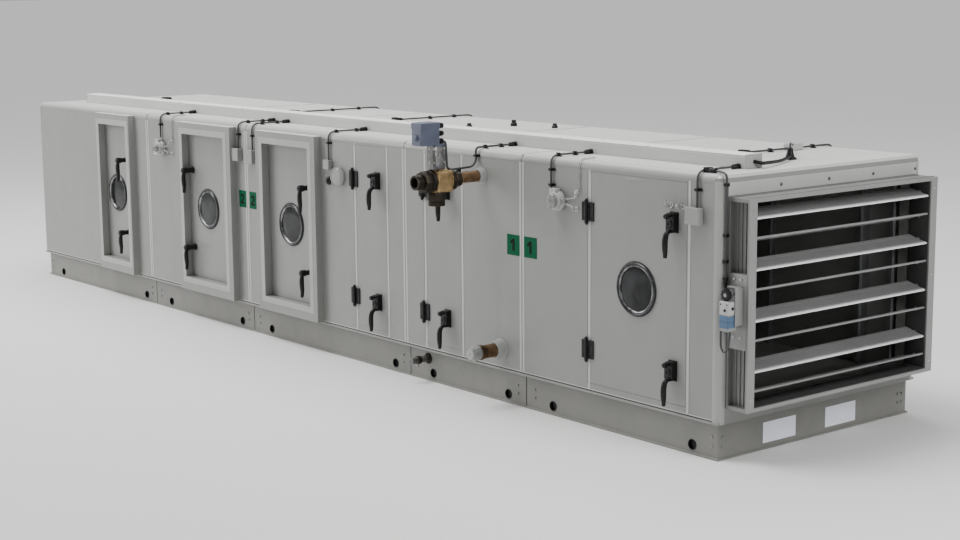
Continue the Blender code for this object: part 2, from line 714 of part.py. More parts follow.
def fan_impeller():
    """Backward-curved wheel: hub disc, blades and an open shroud."""
    low, high = IMPELLER_X
    wheel = rod("fan_impeller", (low, 0, 0), (low + DISC_T, 0, 0), IMPELLER_R, ALUMINIUM, sides=32)
    half_vane, half_t = VANE_CHORD / 2, DISC_T / 2
    vanes = []
    for number in range(IMPELLER_BLADES):
        turn = Matrix.Rotation(2 * math.pi * number / IMPELLER_BLADES, 4, "X")
        vane = tool_block((low + half_t, -half_vane, -half_t), (high - half_t, half_vane, half_t))
        vane.matrix_world = turn @ Matrix.Translation((0, 0, VANE_R)) @ Matrix.Rotation(VANE_ANGLE, 4, "X")
        vanes.append(vane)
    join(wheel, *vanes)
    join(wheel, tool_rod((high - DISC_T, 0, 0), (high, 0, 0), IMPELLER_R, sides=32))
    join(wheel, tool_rod((low - 2 * DISC_T, 0, 0), (low + HUB_LENGTH, 0, 0), HUB_R))
    cut(wheel, tool_rod((high - 5 * DISC_T, 0, 0), (high + REACH, 0, 0), INLET_R + 2 * DISC_T, sides=32))
    for tool in [modifier.object for modifier in wheel.modifiers]:
        tool.parent = wheel
    wheel.location = (0.0, 0.0, AXIS_Z)


def fan_motor():
    low, high = MOTOR_X
    motor = rod("fan_motor", (low, 0, AXIS_Z), (high, 0, AXIS_Z), MOTOR_R, MOTOR_PAINT, sides=24)
    bottom, top = AXIS_Z - MOTOR_R, AXIS_Z + MOTOR_R
    join(
        motor,
        tool_block(
            (low + MOTOR_FOOT_INSET, -MOTOR_FOOT_HALF, bottom - MOTOR_FOOT_INSET),
            (high - MOTOR_FOOT_INSET, MOTOR_FOOT_HALF, AXIS_Z - MOTOR_R / 2),
        ),
        tool_block(
            (low + 0.06, -TERMINAL_BOX_HALF, AXIS_Z + TERMINAL_BOX_HALF),
            (high - TERMINAL_BOX_HALF, TERMINAL_BOX_HALF, top + TERMINAL_BOX_RISE),
        ),
    )


def fan_pedestal():
    low, high = MOTOR_X
    top = AXIS_Z - MOTOR_R - MOTOR_FOOT_INSET - GAP
    stand = block(
        "fan_pedestal", (low, -PEDESTAL_HALF, FLOOR_Z + GAP), (high, PEDESTAL_HALF, top), GALVANISED
    )
    open_y = PEDESTAL_HALF - PEDESTAL_T
    open_low, open_high = FLOOR_Z + PEDESTAL_T, top - PEDESTAL_T
    cut(
        stand,
        tool_block((low - REACH, -open_y, open_low), (high + REACH, open_y, open_high)),
        tool_block(
            (low + PEDESTAL_T, -PEDESTAL_HALF - REACH, open_low),
            (high - PEDESTAL_T, PEDESTAL_HALF + REACH, open_high),
        ),
    )


def control_valve():
    """Bronze three-way valve with its open ports facing along -Y and down."""
    x = UPPER_PIPE[0]
    z = UPPER_PIPE[1] - VALVE_DROP
    near, far, radius = VALVE_BODY
    union_near, union_far, union_r = VALVE_UNION
    nut_near, nut_far, nut_r = VALVE_OPEN_NUT
    end_near, end_far, end_r = VALVE_OPEN_END
    port_length, port_r, port_bore = BOTTOM_PORT
    bonnet_height, bonnet_r = BONNET
    body = rod("valve_body", (x, near, z), (x, far, z), radius, BRASS)
    join(
        body,
        tool_rod((x, union_near - GAP, z), (x, union_far, z), union_r, sides=8),
        tool_rod((x, nut_near, z), (x, nut_far, z), nut_r, sides=8),
        tool_rod((x, end_near, z), (x, end_far, z), end_r),
        tool_rod((x, VALVE_Y, z), (x, VALVE_Y, z - port_length), port_r),
        tool_rod((x, VALVE_Y, z), (x, VALVE_Y, z + bonnet_height), bonnet_r, sides=12),
    )
    cut(
        body,
        tool_rod((x, VALVE_Y, z), (x, end_far - REACH, z), VALVE_BORE_R),
        tool_rod((x, VALVE_Y, z + GAP * 2), (x, VALVE_Y, z - port_length - REACH), port_bore),
    )
    yoke_low = z + bonnet_height + GAP
    box_low, box_high = VALVE_ACTUATOR_Z
    actuator = block(
        "valve_actuator", (x - VALVE_ACTUATOR_HALF, VALVE_ACTUATOR_Y[0], box_low),
        (x + VALVE_ACTUATOR_HALF, VALVE_ACTUATOR_Y[1], box_high), ACTUATOR_BLUE,
    )
    round_edges(actuator, lambda a, b: abs(a.z - b.z) > GAP, YOKE_TOP, segments=2)
    yoke_x, yoke_y = YOKE_HALF
    slot_low = yoke_low + YOKE_FLOOR
    join(actuator, tool_block(
        (x - yoke_x, VALVE_Y - yoke_y, yoke_low), (x + yoke_x, VALVE_Y + yoke_y, box_low + YOKE_FLOOR)
    ))
    cut(actuator, tool_block(
        (x - REACH, VALVE_Y - YOKE_SLOT, slot_low), (x + REACH, VALVE_Y + YOKE_SLOT, box_low - YOKE_TOP)
    ))
    length, stem_r = STEM
    collar_length, collar_r = STEM_COLLAR
    stem = rod("valve_stem", (0, 0, 0), (0, 0, length), stem_r, STEEL, sides=10)
    collar = tool_rod((0, 0, length - collar_length), (0, 0, length), collar_r, sides=10)
    collar.parent = stem
    join(stem, collar)
    stem.location = (x, VALVE_Y, slot_low + GAP)


def cable_trunk():
    low_z = ROOF_Z + GAP
    low_x, high_x = TRUNK_X
    low_y, high_y = TRUNK_Y
    top = low_z + TRUNK_H
    trunk = block("cable_trunk", (low_x, low_y, low_z), (high_x, high_y, top), COATING)

    def top_edge(a, b):
        return min(a.z, b.z) > low_z + TRUNK_H / 2 and abs(a.x - b.x) > REACH

    round_edges(trunk, top_edge, TRUNK_T, segments=1)
    cut(trunk, tool_block(
        (low_x + TRUNK_T, low_y + TRUNK_T, ROOF_Z - REACH),
        (high_x - TRUNK_T, high_y - TRUNK_T, top - TRUNK_T),
    ))


empty_scene()
PARTS = collection("air_handling_unit")
CUTTERS = collection("cutters")

for section in section_spans():
    base_section(*section)
    casing_section(*section)
for door_name, left, right in FLUSH_DOORS:
    flush_door(door_name, left, right)
    for hinge_place, hinge_z in zip(("lower", "upper"), HINGE_Z):
        hinge(f"hinge_{door_name}_{hinge_place}", left - DOOR_GAP / 2, hinge_z)
for door_name, left, right, stile_width, _side, _handle in FRAMED_DOORS:
    framed_door(door_name, left, right, stile_width)
portholes()
handles()
damper_frame()
damper_blades()
damper_actuator()
filter_bank("prefilter_bank", PREFILTER_X)
filter_bank("final_filter_bank", FINAL_FILTER_X)
cooling_coil()
drain_pan()
fan_bulkhead()
fan_impeller()
fan_motor()
fan_pedestal()
control_valve()
cable_trunk()
bpy.context.view_layer.update()
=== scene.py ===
import math

import bmesh
import bpy
from mathutils import Matrix, Vector


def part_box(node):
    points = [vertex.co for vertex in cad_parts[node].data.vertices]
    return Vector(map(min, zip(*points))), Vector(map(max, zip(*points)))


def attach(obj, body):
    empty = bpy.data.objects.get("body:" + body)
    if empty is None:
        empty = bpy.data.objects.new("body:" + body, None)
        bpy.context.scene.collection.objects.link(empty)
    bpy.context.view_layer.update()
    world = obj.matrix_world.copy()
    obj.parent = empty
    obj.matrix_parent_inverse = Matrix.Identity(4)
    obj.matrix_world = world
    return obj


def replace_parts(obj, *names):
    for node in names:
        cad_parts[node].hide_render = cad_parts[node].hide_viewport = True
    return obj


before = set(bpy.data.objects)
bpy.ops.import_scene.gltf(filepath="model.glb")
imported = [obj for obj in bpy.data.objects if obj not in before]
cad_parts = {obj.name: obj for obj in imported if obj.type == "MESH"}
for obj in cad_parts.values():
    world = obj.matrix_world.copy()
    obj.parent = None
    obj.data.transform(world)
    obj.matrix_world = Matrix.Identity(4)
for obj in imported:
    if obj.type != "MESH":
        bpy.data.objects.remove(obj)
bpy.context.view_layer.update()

# Driving sizes, from the frame
FRONT, REAR = [corner.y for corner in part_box("casing_section_5")]
FLOOR_LINE, ROOF = [corner.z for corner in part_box("casing_section_5")]
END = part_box("casing_section_5")[1].x
START = -END
JOINTS = [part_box(f"casing_section_{n}")[1].x + 0.0015 for n in range(1, 5)]
BASE_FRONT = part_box("base_frame_3")[0].y + 0.008
BASE_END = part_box("base_frame_5")[1].x - 0.008
TRUNK_LOW, TRUNK_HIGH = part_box("cable_trunk")
DAMPER_LOW, DAMPER_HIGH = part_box("damper_frame")
FLUSH = {name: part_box(f"door_{name}") for name in "abc"}
FRAMED = {name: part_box(f"door_{name}") for name in "123"}
MM = 0.001
EDGE_R = 0.032              # radius of the casing's edges
SKIN = 0.0012               # how far profiles and plates stand off the panels
SMOOTH = math.radians(38)
OUT, BACK, UP, DOWN, RIGHT = Vector((0, -1, 0)), (0, 1, 0), (0, 0, 1), (0, 0, -1), (1, 0, 0)


# ---------------------------------------------------------------- materials

def link(tree, kind, inputs=None, **settings):
    made = tree.nodes.new(kind)
    for key, value in settings.items():
        setattr(made, key, value)
    for key, value in (inputs or {}).items():
        if isinstance(value, bpy.types.NodeSocket):
            tree.links.new(value, made.inputs[key])
        else:
            made.inputs[key].default_value = value
    return made


def shade(color, factor):
    return (*[min(1.0, channel * factor) for channel in color], 1.0)


def noise(tree, coords, scale, detail=3.0, stretch=(1, 1, 1)):
    mapping = link(tree, "ShaderNodeMapping", {"Vector": coords, "Scale": stretch}).outputs["Vector"]
    inputs = {"Vector": mapping, "Scale": scale, "Detail": detail, "Roughness": 0.6}
    return link(tree, "ShaderNodeTexNoise", inputs).outputs["Fac"]


def spread(tree, value, low, high, out_low, out_high):
    inputs = {"Value": value, "From Min": low, "From Max": high, "To Min": out_low, "To Max": out_high}
    return link(tree, "ShaderNodeMapRange", inputs).outputs["Result"]


def mixed(tree, factor, a, b):
    return link(tree, "ShaderNodeMix", {0: factor, 6: a, 7: b}, data_type="RGBA").outputs[2]


def combined(tree, operation, a, b):
    return link(tree, "ShaderNodeMath", {0: a, 1: b}, operation=operation).outputs[0]


def vertical(tree, vector):
    return link(tree, "ShaderNodeSeparateXYZ", {"Vector": vector}).outputs["Z"]


def material(
    name, color, roughness, metallic=0, mottle=0.05, mottle_scale=2.5, grain=0.15, grain_scale=700.0,
    grain_depth=0.0004, stretch=(1, 1, 1), streaks=0, dust=0, wear=0, spangle=0, painted_top_light=0, patches=0, **fixed,
):
    """A procedural surface: tone, patches, streaks, dust at the foot, painted light on high faces that point
    up, worn edges and grain.
    """
    mat = bpy.data.materials.new(name)
    mat.use_nodes = True
    tree = mat.node_tree
    shader = tree.nodes["Principled BSDF"]
    coords = link(tree, "ShaderNodeTexCoord").outputs["Object"]
    broad = spread(tree, noise(tree, coords, mottle_scale, 4.0), 0.3, 0.7, 0, 1)
    tone = mixed(tree, broad, shade(color, 1 - mottle), shade(color, 1 + mottle))
    if streaks:
        lines = noise(tree, coords, 14.0, 3.0, (1, 1, 0.06))
        tone = mixed(tree, spread(tree, lines, 0.45, 0.8, 0, streaks), tone, shade(color, 0.72))
    if patches:
        blots = spread(tree, noise(tree, coords, 5.5, 6.0, (1, 1, 0.6)), 0.52, 0.62, 0, min(1.0, patches * 6))
        tone = mixed(tree, blots, tone, shade(color, 1 - patches * 1.5))
    # Painted light: high faces that point up are lightened, standing in for light falling from overhead
    if painted_top_light:
        up = vertical(tree, link(tree, "ShaderNodeNewGeometry").outputs["Normal"])
        high = spread(tree, vertical(tree, coords), 1.0, 1.15, 0, 1)
        top = combined(tree, "MULTIPLY", spread(tree, up, 0.25, 0.95, 0, 1), high)
        tone = mixed(tree, top, tone, shade(color, 1 + painted_top_light))
    if spangle:
        cells = link(tree, "ShaderNodeTexVoronoi", {"Vector": coords, "Scale": 60.0})
        tone = mixed(tree, spread(tree, cells.outputs["Color"], 0, 1, 0, spangle), tone, shade(color, 1.5))
    if dust:
        low = spread(tree, vertical(tree, coords), 0, 0.5, dust, 0)
        patch = spread(tree, noise(tree, coords, 9.0, 5.0), 0.35, 0.7, 0.2, 1)
        tone = mixed(tree, combined(tree, "MULTIPLY", low, patch), tone, (0.27, 0.25, 0.21, 1.0))
    if wear:
        soft = link(tree, "ShaderNodeBevel", {"Radius": 0.003}, samples=4).outputs["Normal"]
        flat = link(tree, "ShaderNodeNewGeometry").outputs["Normal"]
        match = link(tree, "ShaderNodeVectorMath", {0: soft, 1: flat}, operation="DOT_PRODUCT")
        edge = spread(tree, match.outputs["Value"], 0.97, 0.8, 0, wear)
        tone = mixed(tree, edge, tone, shade(color, 1.35))
    tree.links.new(tone, shader.inputs["Base Color"])
    fine = noise(tree, coords, grain_scale, 2.0, stretch)
    gloss = spread(tree, fine, 0.3, 0.7, roughness - 0.05, roughness + 0.05)
    smear = spread(tree, noise(tree, coords, 11.0, 4.0), 0.35, 0.7, -0.05, 0.07)
    tree.links.new(combined(tree, "ADD", gloss, smear), shader.inputs["Roughness"])
    bump = link(tree, "ShaderNodeBump", {"Strength": grain, "Distance": grain_depth, "Height": fine})
    tree.links.new(bump.outputs["Normal"], shader.inputs["Normal"])
    shader.inputs["Metallic"].default_value = metallic
    for key, value in fixed.items():
        shader.inputs[key.replace("_", " ")].default_value = value
    return mat


def ribbed(mat, scale, depth):
    """Adds parallel ribs, such as pleats or fins, under the material's grain, with painted shade darkening
    the troughs between them.
    """
    tree = mat.node_tree
    shader = tree.nodes["Principled BSDF"]
    coords = link(tree, "ShaderNodeTexCoord").outputs["Object"]
    inputs = {"Vector": coords, "Scale": scale}
    wave = link(tree, "ShaderNodeTexWave", inputs, bands_direction="Y").outputs["Fac"]
    grain = shader.inputs["Normal"].links[0].from_socket
    bump = link(tree, "ShaderNodeBump", {"Strength": 1, "Distance": depth, "Height": wave, "Normal": grain})
    tree.links.new(bump.outputs["Normal"], shader.inputs["Normal"])
    old = shader.inputs["Base Color"].links[0].from_socket
    # Painted shade: the troughs between the ribs are darkened, standing in for shade between pleats and fins
    dark = mixed(tree, spread(tree, wave, 0, 0.5, 0.6, 0), old, (0.03, 0.028, 0.025, 1.0))
    tree.links.new(dark, shader.inputs["Base Color"])
    return mat


COATING = material(
    "casing_coat", (0.246, 0.25, 0.239), 0.4, streaks=0.16, dust=0.14, wear=0.4, painted_top_light=1.55, patches=0.06,
)
DOOR_COAT = material(
    "door_coat", (0.242, 0.247, 0.235), 0.38, mottle=0.04, streaks=0.14, dust=0.1, wear=0.4, patches=0.05,
)
BASE_COAT = material(
    "base_coat", (0.186, 0.189, 0.178), 0.48, mottle=0.08, streaks=0.15, dust=0.35, wear=0.4, patches=0.08,
)
TRIM = material("trim_profile", (0.35, 0.355, 0.34), 0.34, mottle=0.04, streaks=0.12, dust=0.08, painted_top_light=0.6)
SEAM = material("seam_profile", (0.46, 0.465, 0.45), 0.34, mottle=0.04, streaks=0.15, dust=0.1, painted_top_light=0.3)
ROOF_TRIM = material("roof_profile", (0.245, 0.25, 0.238), 0.38, streaks=0.08, painted_top_light=1.0, patches=0.04)
TRUNK_COAT = material("trunk_coat", (0.5, 0.505, 0.49), 0.4, streaks=0.1, painted_top_light=0.9, patches=0.05)
GASKET = material("gasket_rubber", (0.24, 0.24, 0.23), 0.8, mottle=0.1, grain=0.4)
# Near black: real gaskets, seams and splices, and also strips of painted shade where only shade falls
SHADOW_SEAL = material("dark_seal_and_painted_shade", (0.035, 0.035, 0.034), 0.85, mottle=0.2, grain=0.4)
BLACK = material(
    "black_nylon", (0.005, 0.005, 0.0055), 0.4, mottle=0.25, grain=0.35, grain_scale=1400, wear=0.4,
    Specular_IOR_Level=0.28,
)
CONDUIT = material("conduit_sheath", (0.045, 0.047, 0.049), 0.45, mottle=0.18, grain=0.3)
RIM = material(
    "window_rim", (0.022, 0.023, 0.025), 0.26, mottle=0.3, mottle_scale=22, grain=0.3, grain_scale=1100,
    wear=0.9,
)
# The pane's strong mottle and patches are painted reflection: light and dark blotches standing in for mottled
# highlights on the glass
GLASS = material(
    "window_pane", (0.04, 0.042, 0.044), 0.07, mottle=0.9, mottle_scale=16, grain=0.3, grain_scale=60,
    grain_depth=0.0006, patches=0.4, Transmission_Weight=0.55, IOR=1.27,
)
# The strong mottle on this metal ring is painted reflection: light and dark blotches standing in for patchy
# highlights on the bezel
SPACER = material(
    "pane_spacer", (0.19, 0.19, 0.195), 0.3, metallic=1, mottle=0.85, mottle_scale=22, grain=0.5,
    grain_scale=120, grain_depth=0.001,
)
ALUMINIUM = material(
    "extruded_aluminium", (0.27, 0.275, 0.27), 0.4, metallic=0.35, mottle=0.08, grain=0.35, grain_scale=260,
    stretch=(1, 0.03, 1), wear=0.4,
)
# Near white: a painted highlight along the lit noses of the odd blades
NOSE_HIGHLIGHT = material(
    "blade_nose_painted_highlight", (0.97, 0.975, 0.97), 0.22, metallic=0.35, mottle=0.04, grain=0.2, grain_scale=260,
    stretch=(1, 0.03, 1),
)
GALVANISED = material("galvanised_sheet", (0.27, 0.28, 0.28), 0.46, metallic=0.8, mottle=0.08, spangle=0.3)
STEEL = material("turned_steel", (0.52, 0.52, 0.51), 0.28, metallic=1, mottle=0.08, grain=0.3)
BRASS = material(
    "cast_brass", (0.36, 0.25, 0.12), 0.42, metallic=0.85, mottle=0.42, mottle_scale=26, grain=0.8,
    grain_scale=420, grain_depth=0.001, wear=0.6, patches=0.28,
)
BRONZE = material(
    "dark_bronze", (0.03, 0.024, 0.018), 0.42, metallic=0.8, mottle=0.35, mottle_scale=40, grain=0.6,
    grain_scale=500, wear=0.6,
)
COPPER = material(
    "aged_copper", (0.21, 0.128, 0.068), 0.4, metallic=0.85, mottle=0.5, mottle_scale=34, grain=0.6,
    grain_scale=420, patches=0.5,
)
WHITE = material("white_plastic", (0.42, 0.43, 0.42), 0.36, grain=0.2, grain_scale=1200)
BOX_GREY = material("box_grey_plastic", (0.265, 0.27, 0.26), 0.4, mottle=0.06, grain=0.2, grain_scale=1200)
BLUE_BOX = material(
    "blue_grey_housing", (0.083, 0.095, 0.143), 0.42, mottle=0.12, mottle_scale=18, grain=0.3, wear=0.4,
    painted_top_light=0.3,
)
BLUE = material("blue_plastic", (0.065, 0.125, 0.225), 0.36, mottle=0.1, grain=0.25, wear=0.4)
GREEN = material("green_sign", (0.0015, 0.084, 0.037), 0.5, mottle=0.1, grain=0.1, Specular_IOR_Level=0.06)
INK = material("sign_ink", (0.006, 0.008, 0.006), 0.75, mottle=0.2, grain=0.1, Specular_IOR_Level=0.1)
LABEL = material("blank_label", (0.86, 0.88, 0.97), 0.45, mottle=0.03, grain=0.1)
PLATE = material("blank_plate", (0.27, 0.28, 0.275), 0.45, mottle=0.06)
CLEAR = material("clear_hose", (0.62, 0.63, 0.61), 0.14, grain=0.05, Transmission_Weight=0.75, IOR=1.4)
MOTOR = material("motor_enamel", (0.1, 0.13, 0.17), 0.35, mottle=0.12, grain=0.4, wear=0.4)
MEDIA = ribbed(
    material("pleated_media", (0.13, 0.105, 0.08), 0.9, mottle=0.35, mottle_scale=6, grain=0.8), 14.0, 0.006,
)
DAMPER_COAT = material(
    "damper_coat", (0.2, 0.203, 0.197), 0.42, metallic=0.2, mottle=0.08, streaks=0.15, wear=0.5,
)
FLANGE = material(
    "damper_flange_coat", (0.26, 0.263, 0.257), 0.38, metallic=0.2, mottle=0.08, streaks=0.1, wear=0.5,
)
SLEEVE = material("pipe_sleeve", (0.3, 0.31, 0.295), 0.42, mottle=0.08, mottle_scale=20, grain=0.3)
YOKE = material(
    "yoke_steel", (0.15, 0.15, 0.148), 0.42, metallic=0.7, mottle=0.5, mottle_scale=30, grain=0.5,
    grain_scale=300, wear=0.5,
)
FINS = ribbed(material("coil_fins", (0.52, 0.53, 0.54), 0.35, metallic=1, mottle=0.08), 60.0, 0.002)

# The record's slot that each look fills, where a piece doesn't name another
SLOTS = {
    "casing_coating": (COATING, DOOR_COAT, TRIM, SEAM, ROOF_TRIM, TRUNK_COAT, GASKET, DAMPER_COAT),
    "black_plastic": (BLACK, CONDUIT), "galvanised_sheet": (GALVANISED,), "stem_steel": (STEEL, YOKE),
    "bronze": (BRASS, BRONZE), "coil_metal": (COPPER,), "blade_aluminium": (ALUMINIUM, NOSE_HIGHLIGHT),
    "window_glazing": (GLASS, SPACER), "actuator_body": (BLUE, BLUE_BOX), "motor_paint": (MOTOR,),
}


# ---------------------------------------------------------------- mesh work

def about(middle, half):
    """A span half (mm) to each side of a place."""
    return middle - half * MM, middle + half * MM


def by(edge, low, high):
    """A span between two distances (mm) from an edge."""
    return edge + low * MM, edge + high * MM


def turns(count, first=0):
    return [2 * math.pi * (k + first) / count for k in range(count)]


def slab(bm, *spans):
    """A box from its x, y and z spans."""
    low, high = Vector([min(span) for span in spans]), Vector([max(span) for span in spans])
    made = bmesh.ops.create_cube(bm, size=1.0)["verts"]
    bmesh.ops.scale(bm, vec=high - low, verts=made)
    bmesh.ops.translate(bm, vec=(low + high) / 2, verts=made)
    return made


def rod(bm, start, end, radius, sides):
    start, end = Vector(start), Vector(end)
    axis = end - start
    made = bmesh.ops.create_cone(
        bm, cap_ends=True, segments=sides, depth=axis.length, radius1=radius, radius2=radius,
    )["verts"]
    turn = Vector(UP).rotation_difference(axis.normalized()).to_matrix().to_4x4()
    bmesh.ops.transform(bm, matrix=Matrix.Translation((start + end) / 2) @ turn, verts=made)


def lathe(bm, profile, origin, axis, sides=40):
    """Turns (radius, height) points (mm) about an axis; a profile that starts off the axis is closed."""
    turn = Vector(UP).rotation_difference(Vector(axis).normalized()).to_matrix()
    origin = Vector(origin)
    rings = []
    for radius, height in [(radius * MM, height * MM) for radius, height in profile]:
        if radius < 1e-6:
            rings.append([bm.verts.new(origin + turn @ Vector((0, 0, height)))] * sides)
        else:
            rings.append([
                bm.verts.new(origin + turn @ Vector((radius * math.cos(a), radius * math.sin(a), height)))
                for a in turns(sides)
            ])
    pairs = list(zip(rings, rings[1:]))
    if profile[0][0] > 1e-6:
        pairs.append((rings[-1], rings[0]))
    for a, b in pairs:
        for k in range(sides):
            corners = []
            for vert in (a[k], a[(k + 1) % sides], b[(k + 1) % sides], b[k]):
                if vert not in corners:
                    corners.append(vert)
            if len(corners) > 2:
                bm.faces.new(corners)


def capped(*points):
    """A profile whose two ends are closed flat to the axis."""
    return (0, points[0][1]), *points, (0, points[-1][1])


def prism(bm, outline, axis, start, end):
    """Extrudes a closed outline: (y, z) points along "X", (x, z) along "Y", or (x, y) along "Z"."""
    def place(point, along):
        if axis == "Y":
            return (point[0], along, point[1])
        return (along, *point) if axis == "X" else (*point, along)

    near = [bm.verts.new(place(point, start)) for point in outline]
    far = [bm.verts.new(place(point, end)) for point in outline]
    bm.faces.new(near)
    bm.faces.new(list(reversed(far)))
    for k in range(len(outline)):
        n = (k + 1) % len(outline)
        bm.faces.new((near[n], near[k], far[k], far[n]))


def soften(obj, width, segments=2):
    edges = obj.modifiers.new("Soft edges", "BEVEL")
    edges.width = width
    edges.segments = segments
    edges.limit_method = "ANGLE"
    edges.angle_limit = SMOOTH
    edges.harden_normals = True


def settle(obj, look, body, slot=None):
    """Gives a piece its look and the body that it rides; the record's slot is worked out but not kept."""
    bpy.context.scene.collection.objects.link(obj)
    obj.data.materials.append(look)
    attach(obj, body)
    slot = slot or next((name for name, looks in SLOTS.items() if look in looks), None)
    return obj


def piece(name, look, parts, bevel=0, body="casing", slot=None, segments=2, turn=None):
    """One named piece, its bevel in mm; each part is a mesh function and what that function is given."""
    bm = bmesh.new()
    for build, *given in parts:
        build(bm, *given)
    if turn:
        bmesh.ops.transform(bm, matrix=turn, verts=bm.verts)
    bmesh.ops.recalc_face_normals(bm, faces=bm.faces)
    mesh = bpy.data.meshes.new(name)
    bm.to_mesh(mesh)
    bm.free()
    mesh.shade_smooth()
    mesh.set_sharp_from_angle(angle=SMOOTH)
    obj = bpy.data.objects.new(name, mesh)
    if bevel:
        soften(obj, bevel * MM, segments)
    return settle(obj, look, body, slot)


def rounded(points, radius, steps=6):
    """The route with its corners turned into short arcs."""
    points = [Vector(point) for point in points]
    route = [points[0]]
    for before, corner, after in zip(points, points[1:], points[2:]):
        back, ahead = before - corner, after - corner
        reach = min(radius, back.length * 0.49, ahead.length * 0.49)
        start, end = corner + back.normalized() * reach, corner + ahead.normalized() * reach
        for step in range(steps + 1):
            t = step / steps
            route.append((1 - t) ** 2 * start + 2 * t * (1 - t) * corner + t * t * end)
    return [*route, points[-1]]


def pipe(name, points, radius, look, body="casing", bend=0.03, taper=None):
    curve = bpy.data.curves.new(name, "CURVE")
    curve.dimensions = "3D"
    curve.bevel_depth = radius
    curve.bevel_resolution = 3
    curve.use_fill_caps = True
    route = rounded(points, bend)
    spline = curve.splines.new("POLY")
    spline.points.add(len(route) - 1)
    for index, (point, place) in enumerate(zip(spline.points, route)):
        point.co = (*place, 1.0)
        if taper:
            point.radius = taper(index / (len(route) - 1))
    spline.use_smooth = True
    settle(bpy.data.objects.new(name, curve), look, body)


def screw(bm, place, axis, radius, height):
    """A pan head with a recess; sizes in mm."""
    lathe(bm, (
        (radius, 0), (radius, height * 0.5), (radius * 0.75, height), (radius * 0.35, height),
        (radius * 0.3, height * 0.4), (0, height * 0.4),
    ), place, axis, 16)


def hexagon(bm, place, axis, across, height):
    """A hexagon head on a washer; sizes in mm."""
    lathe(bm, ((across * 0.72, 0), (across * 0.72, height * 0.2), (0, height * 0.2)), place, axis, 20)
    raised = Vector(place) + Vector(axis).normalized() * height * 0.15 * MM
    lathe(bm, (
        (across * 0.577, 0), (across * 0.577, height * 0.75), (across * 0.48, height), (0, height),
    ), raised, axis, 6)


def gland(bm, place, axis, radius, length):
    """A cable gland: hexagon, ribbed collar and dome nut; sizes in mm."""
    axis = Vector(axis).normalized()
    lathe(bm, (
        (radius * 1.2, 0), (radius * 1.2, length * 0.22), (radius * 0.8, length * 0.24), (0, length * 0.24),
    ), place, axis, 6)
    lathe(bm, (
        (radius * 0.85, 0), (radius * 0.85, length * 0.3), (radius * 1.05, length * 0.34),
        (radius * 1.05, length * 0.72), (radius * 0.85, length * 0.9), (radius * 0.55, length), (0, length),
    ), place, axis, 20)


# ---------------------------------------------------------------- looks of the CAD nodes

NODE_LOOKS = (
    ("base_frame", BASE_COAT, 0.002), ("casing_section", COATING, 0.002), ("door_", DOOR_COAT, 0.002),
    ("handle_", BLACK, 0.0012), ("hinge_", BLACK, 0.0012), ("damper_frame", DAMPER_COAT, 0.0015),
    ("damper_blade", ALUMINIUM, 0), ("damper_actuator", FLANGE, 0.001), ("prefilter_bank", MEDIA, 0.001),
    ("final_filter_bank", MEDIA, 0.001), ("cooling_coil", FINS, 0), ("drain_pan", YOKE, 0),
    ("fan_bulkhead", GALVANISED, 0), ("fan_impeller", ALUMINIUM, 0), ("fan_motor", MOTOR, 0.002),
    ("fan_pedestal", GALVANISED, 0.0015), ("valve_body", BRASS, 0.0015), ("valve_actuator", BLUE_BOX, 0.0015),
    ("valve_stem", STEEL, 0.0005), ("cable_trunk", TRUNK_COAT, 0.001), ("porthole_", RIM, 0),
)
for node_name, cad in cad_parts.items():
    look, width = next((look, width) for prefix, look, width in NODE_LOOKS if node_name.startswith(prefix))
    cad.data.materials.clear()
    cad.data.materials.append(look)
    if width:
        cad.modifiers.new("Weld", "WELD").merge_threshold = 0.0001
        soften(cad, width)


# ---------------------------------------------------------------- profiles, seams and seals of the casing

def edge_outline(along, across, sign_a, sign_b):
    """A skin around a rounded edge whose faces are at along and across, with a band down each face."""
    band = EDGE_R + 0.004
    outer, inner = [], []
    centre = (along - sign_a * EDGE_R, across - sign_b * EDGE_R)
    for step in range(9):
        angle = math.pi / 2 * step / 8
        direction = (math.cos(angle) * sign_a, math.sin(angle) * sign_b)
        outer.append(tuple(c + d * (EDGE_R + SKIN) for c, d in zip(centre, direction)))
        inner.append(tuple(c + d * (EDGE_R - SKIN) for c, d in zip(centre, direction)))
    first_out = (along + sign_a * SKIN, across - sign_b * band)
    first_in = (along - sign_a * SKIN, across - sign_b * band)
    last_out = (along - sign_a * band, across + sign_b * SKIN)
    last_in = (along - sign_a * band, across - sign_b * SKIN)
    return [first_out, *outer, last_out, last_in, *reversed(inner), first_in]


SIDES = (("front", FRONT, -1), ("rear", REAR, 1))
for end_name, end_x, sign_x in (("right", END, 1), ("left", START, -1)):
    for side_name, side_y, sign_y in SIDES:
        outline = edge_outline(end_x, side_y, sign_x, sign_y)
        post = (prism, outline, "Z", FLOOR_LINE, ROOF - EDGE_R)
        piece(f"corner_post_{end_name}_{side_name}", TRIM, [post], 0.8)

SECTION_EDGES = [START + EDGE_R, *JOINTS, END - EDGE_R]
SECTIONS = list(zip(SECTION_EDGES, SECTION_EDGES[1:]))
for side_name, side_y, sign_y in SIDES:
    outline = edge_outline(side_y, ROOF, sign_y, 1)
    edges = [(prism, outline, "X", low + 0.002, high - 0.002) for low, high in SECTIONS]
    piece(f"roof_edge_{side_name}", ROOF_TRIM, edges, 0.8)

